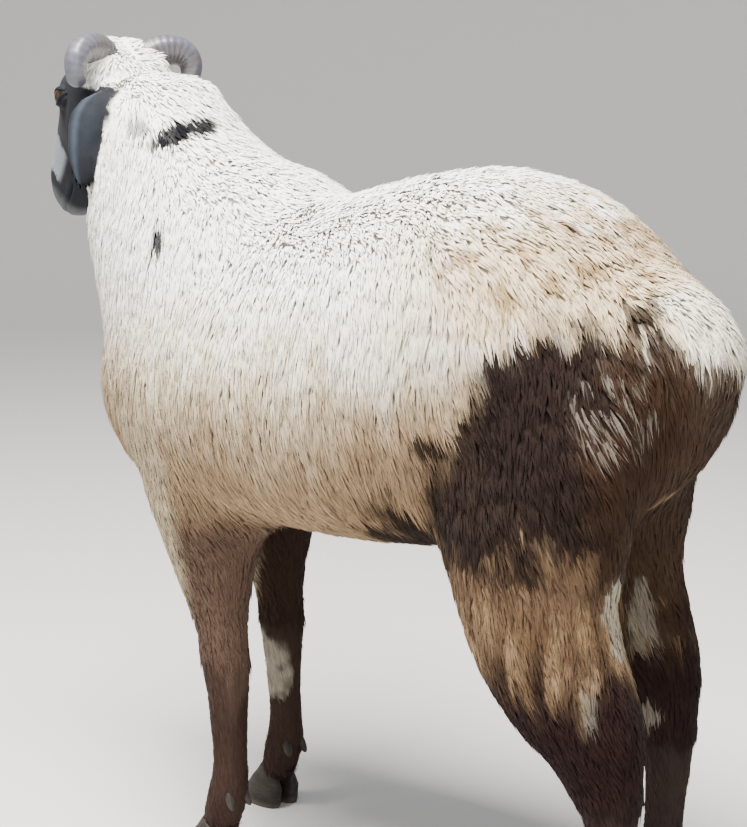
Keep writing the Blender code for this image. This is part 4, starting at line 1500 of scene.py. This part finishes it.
# %% [markdown]
# ## Hooves
# Each foot stands on two claws: horn walls that lean back from the toe, with a flat sole and a
# round heel. They are rings of a rounded rectangle whose size and setback follow the height,
# and the wall is lower at the heel. Growth lines run round it, and the coronet's hair hangs
# over its top.

# %% Make the hooves
# Height of a ring in metres, its share of the full size, and how far it is set back.
CLAW_RISE = np.array(
    [(0, 0.97, 0), (0.0015, 1.0, 0.0001), (0.006, 1.02, 0.0005), (0.020, 0.92, 0.0045),
     (0.030, 0.80, 0.0090), (0.036, 0.66, 0.0110), (0.046, 0.45, 0.0130)]
)
TOE_AHEAD = 0.0270
CLAW_SIZE = (0.0225, 0.054)
CLAW_ROWS = 70
CLAW_AROUND = 56
SQUARENESS = 2.3
GROWTH_STEP = 0.0031
GROWTH_DIP = 0.0025
HOOF_SCUFF = 1 / 700


def claw_grid(node, outward):
    """Rounded rectangles |x|^2.3 + |y|^2.3 = 1, narrower at the toe, flatter on the inner wall."""
    low, high = corners(node)
    middle_x = (low[0] + high[0]) / 2 - 0.0005 * outward
    middle_y = low[1] + TOE_AHEAD
    up = np.linspace(0, 1, CLAW_ROWS) ** 1.2 * CLAW_RISE[-1, 0]
    size = np.interp(up, CLAW_RISE[:, 0], CLAW_RISE[:, 1])[:, None]
    back = np.interp(up, CLAW_RISE[:, 0], CLAW_RISE[:, 2])[:, None]
    angle = np.arange(CLAW_AROUND) * 2 * math.pi / CLAW_AROUND
    c, s = (np.sign(wave) * np.abs(wave) ** (2 / SQUARENESS) for wave in (np.cos(angle), np.sin(angle)))
    wall = np.where(c * outward > 0, 1.0, 0.92)
    grown_at = 2 * math.pi * (up[:, None] + GROWTH_DIP * (1 - s)) / GROWTH_STEP
    lines = 0.00007 * np.sin(grown_at) * ease(0.002, 0.006, up)[:, None]
    x = middle_x + (CLAW_SIZE[0] / 2 * size + lines) * c * (1 - 0.28 * np.maximum(s, 0) ** 2) * wall
    y = middle_y - (CLAW_SIZE[1] / 2 * size + lines) * s + back
    z = up[:, None] * (1 - 0.15 * (1 - s))
    rings = np.stack([x, y, z], axis=2)
    return closed_grid(rings, rings[0].mean(0), rings[-1].mean(0))


def claw_colours(points):
    """Blackish brown horn, worn paler at the ground, with lines that follow the growth."""
    line = noise(points * (0.35, 0.35, 1.0), 0.0022, 111)
    tone = blend(linear("#171210"), linear("#322a25"), 0.8 * line)
    worn = (1 - ease(0.001, 0.008, points[:, 2])) * (0.4 + 0.6 * noise(points, 0.006, 113))
    return blend(tone, linear("#6a5e50"), 0.6 * worn)


print("a claw has", CLAW_ROWS, "rows of", CLAW_AROUND, "points")

# %% Set the hooves


def hoof_material():
    """Hoof horn: keratin again, but scuffed on stones, so it is duller than the horns."""
    made, tree, shader = new_material("hoof_keratin", Roughness=0.55, IOR=1.55, Specular_IOR_Level=0.25)
    place = add(tree, "TexCoord")
    scuff = add(tree, "TexNoise", Vector=place.outputs["Object"], Scale=1 / HOOF_SCUFF, Detail=4.0)
    painted = add(tree, "Attribute", {"attribute_name": "coat"})
    tone = tint(tree, painted.outputs["Color"], scuff.outputs[0], 0.8, 1.2)
    tree.links.new(tone, shader.inputs["Base Color"])
    bump = add(tree, "Bump", Strength=0.4, Distance=0.0003, Height=scuff.outputs[0])
    tree.links.new(bump.outputs[0], shader.inputs["Normal"])
    return made


hoof = hoof_material()
for leg in LEGS:
    for place in ("inner", "outer"):
        node = f"claw_{leg}_{place}"
        outward = (1 if leg.endswith("left") else -1) * (1 if place == "outer" else -1)
        points, faces = claw_grid(node, outward)
        claw = new_piece(f"hoof_{leg}_{place}", points, faces, hoof)
        set_colour(claw, claw_colours(points))
        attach(claw, "root")
        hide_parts(node)
print("hooves:", len(faces), "triangles each")

# %% [markdown]
# ## Dewclaws
# Two small claws that never touch the ground sit behind each fetlock. Each is a short rod with
# round ends, leaning back and down out of the hair, and all eight are one piece.

# %% Make the dewclaws


def dewclaw(leg, side):
    """A rod from inside the fetlock to 8 mm behind it, radius 5.6 mm falling to 4.2 mm."""
    boxes = [corners(f"claw_{leg}_{place}") for place in ("inner", "outer")]
    middle = np.mean([corner for box in boxes for corner in box], axis=0)
    up = 0.080 if leg.startswith("front") else 0.073
    behind = 0.034 if leg.startswith("front") else 0.037
    start = (middle[0] + side * 0.009, middle[1] + behind, up)
    end = (middle[0] + side * 0.011, middle[1] + behind + 0.008, up - 0.014)
    return capsule(start, end, 0.0056, 0.0042)


points, faces = together([dewclaw(leg, side) for leg in LEGS for side in (1, -1)])
dewclaws = new_piece("dewclaws", points, faces, hoof)
set_colour(dewclaws, claw_colours(points))
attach(dewclaws, "root")
print("dewclaws:", len(faces), "triangles")

# %% [markdown]
# ## Floor, light and camera
# A pale floor that curves up into a wall keeps the horizon out of sight. One big soft lamp
# high on the animal's left does most of the work, as a skylight would, and a weaker one fills
# the shade. The camera stands low, off the left hip, with a short telephoto lens.

# %% Set the stage
FLAT_RADIUS = 5.0
WALL_RADIUS = 2.0
WALL_HEIGHT = 3.5
FLOOR_AROUND = 96


def studio_floor():
    """A disc whose rim curves up: flat to 5 m, a quarter circle of 2 m, then a straight wall."""
    turn = np.linspace(0, math.pi / 2, 12)[1:]
    flat_out = np.linspace(0.4, FLAT_RADIUS, 8)
    out = np.concatenate([flat_out, FLAT_RADIUS + WALL_RADIUS * np.sin(turn)])
    up = np.concatenate([0 * flat_out, WALL_RADIUS * (1 - np.cos(turn))])
    out, up = np.append(out, out[-1])[:, None], np.append(up, WALL_HEIGHT)[:, None]
    angle = np.arange(FLOOR_AROUND) * 2 * math.pi / FLOOR_AROUND
    rings = np.stack([out * np.cos(angle), out * np.sin(angle), up + 0 * angle], 2)
    points = np.concatenate([rings.reshape(-1, 3), [[0, 0, 0]]])
    sides = between_rings(len(rings), FLOOR_AROUND)[:, ::-1]
    k = np.arange(FLOOR_AROUND)
    hub = np.stack([np.full(FLOOR_AROUND, len(points) - 1), k, (k + 1) % FLOOR_AROUND], 1)
    made, _, _ = new_material("studio_floor", Base_Color=(*linear("#cfcdc9"), 1), Roughness=0.9)
    return new_piece("floor", points, np.concatenate([sides, hub]), made)


def lamp(name, place, aim, size, watts, colour):
    """A square area lamp that faces aim."""
    data = bpy.data.lights.new(name, "AREA")
    data.size = size
    data.energy = watts
    data.color = colour
    made = bpy.data.objects.new(name, data)
    made.location = place
    made.rotation_mode = "QUATERNION"
    made.rotation_quaternion = (Vector(aim) - Vector(place)).to_track_quat("-Z", "Y")
    bpy.context.scene.collection.objects.link(made)


studio_floor()
world = bpy.data.worlds.new("studio")
bpy.context.scene.world = world
world.use_nodes = True
world.node_tree.nodes["Background"].inputs["Color"].default_value = (0.80, 0.84, 0.90, 1)
world.node_tree.nodes["Background"].inputs["Strength"].default_value = 0.8
lamp("key", (0.9, 0.1, 2.9), (0, 0, 0.5), 1.6, 420, (1.0, 0.97, 0.92))
lamp("fill", (2.6, 2.4, 1.2), (0, 0, 0.4), 2.0, 50, (0.92, 0.95, 1.0))
print("floor", 2 * (FLAT_RADIUS + WALL_RADIUS), "m across, its wall", WALL_HEIGHT, "m high")

# %% Set the camera
AZIMUTH = math.radians(136)
ELEVATION = math.radians(9)
DISTANCE = 1.790
AIM = (0, 0.0489, 0.4631)
LENS = 82.71


def set_camera():
    """A camera that looks at AIM from AZIMUTH, counted from ahead towards the left, and ELEVATION."""
    level = math.cos(ELEVATION)
    back = Vector((math.sin(AZIMUTH) * level, -math.cos(AZIMUTH) * level, math.sin(ELEVATION)))
    data = bpy.data.cameras.new("camera")
    data.lens = LENS
    made = bpy.data.objects.new("camera", data)
    made.location = Vector(AIM) + back * DISTANCE
    made.rotation_mode = "QUATERNION"
    made.rotation_quaternion = (-back).to_track_quat("-Z", "Y")
    bpy.context.scene.collection.objects.link(made)
    bpy.context.scene.camera = made


set_camera()
print("camera", DISTANCE, "m from", AIM, "with a lens of", LENS, "mm")

# %% Update the scene
bpy.context.view_layer.update()
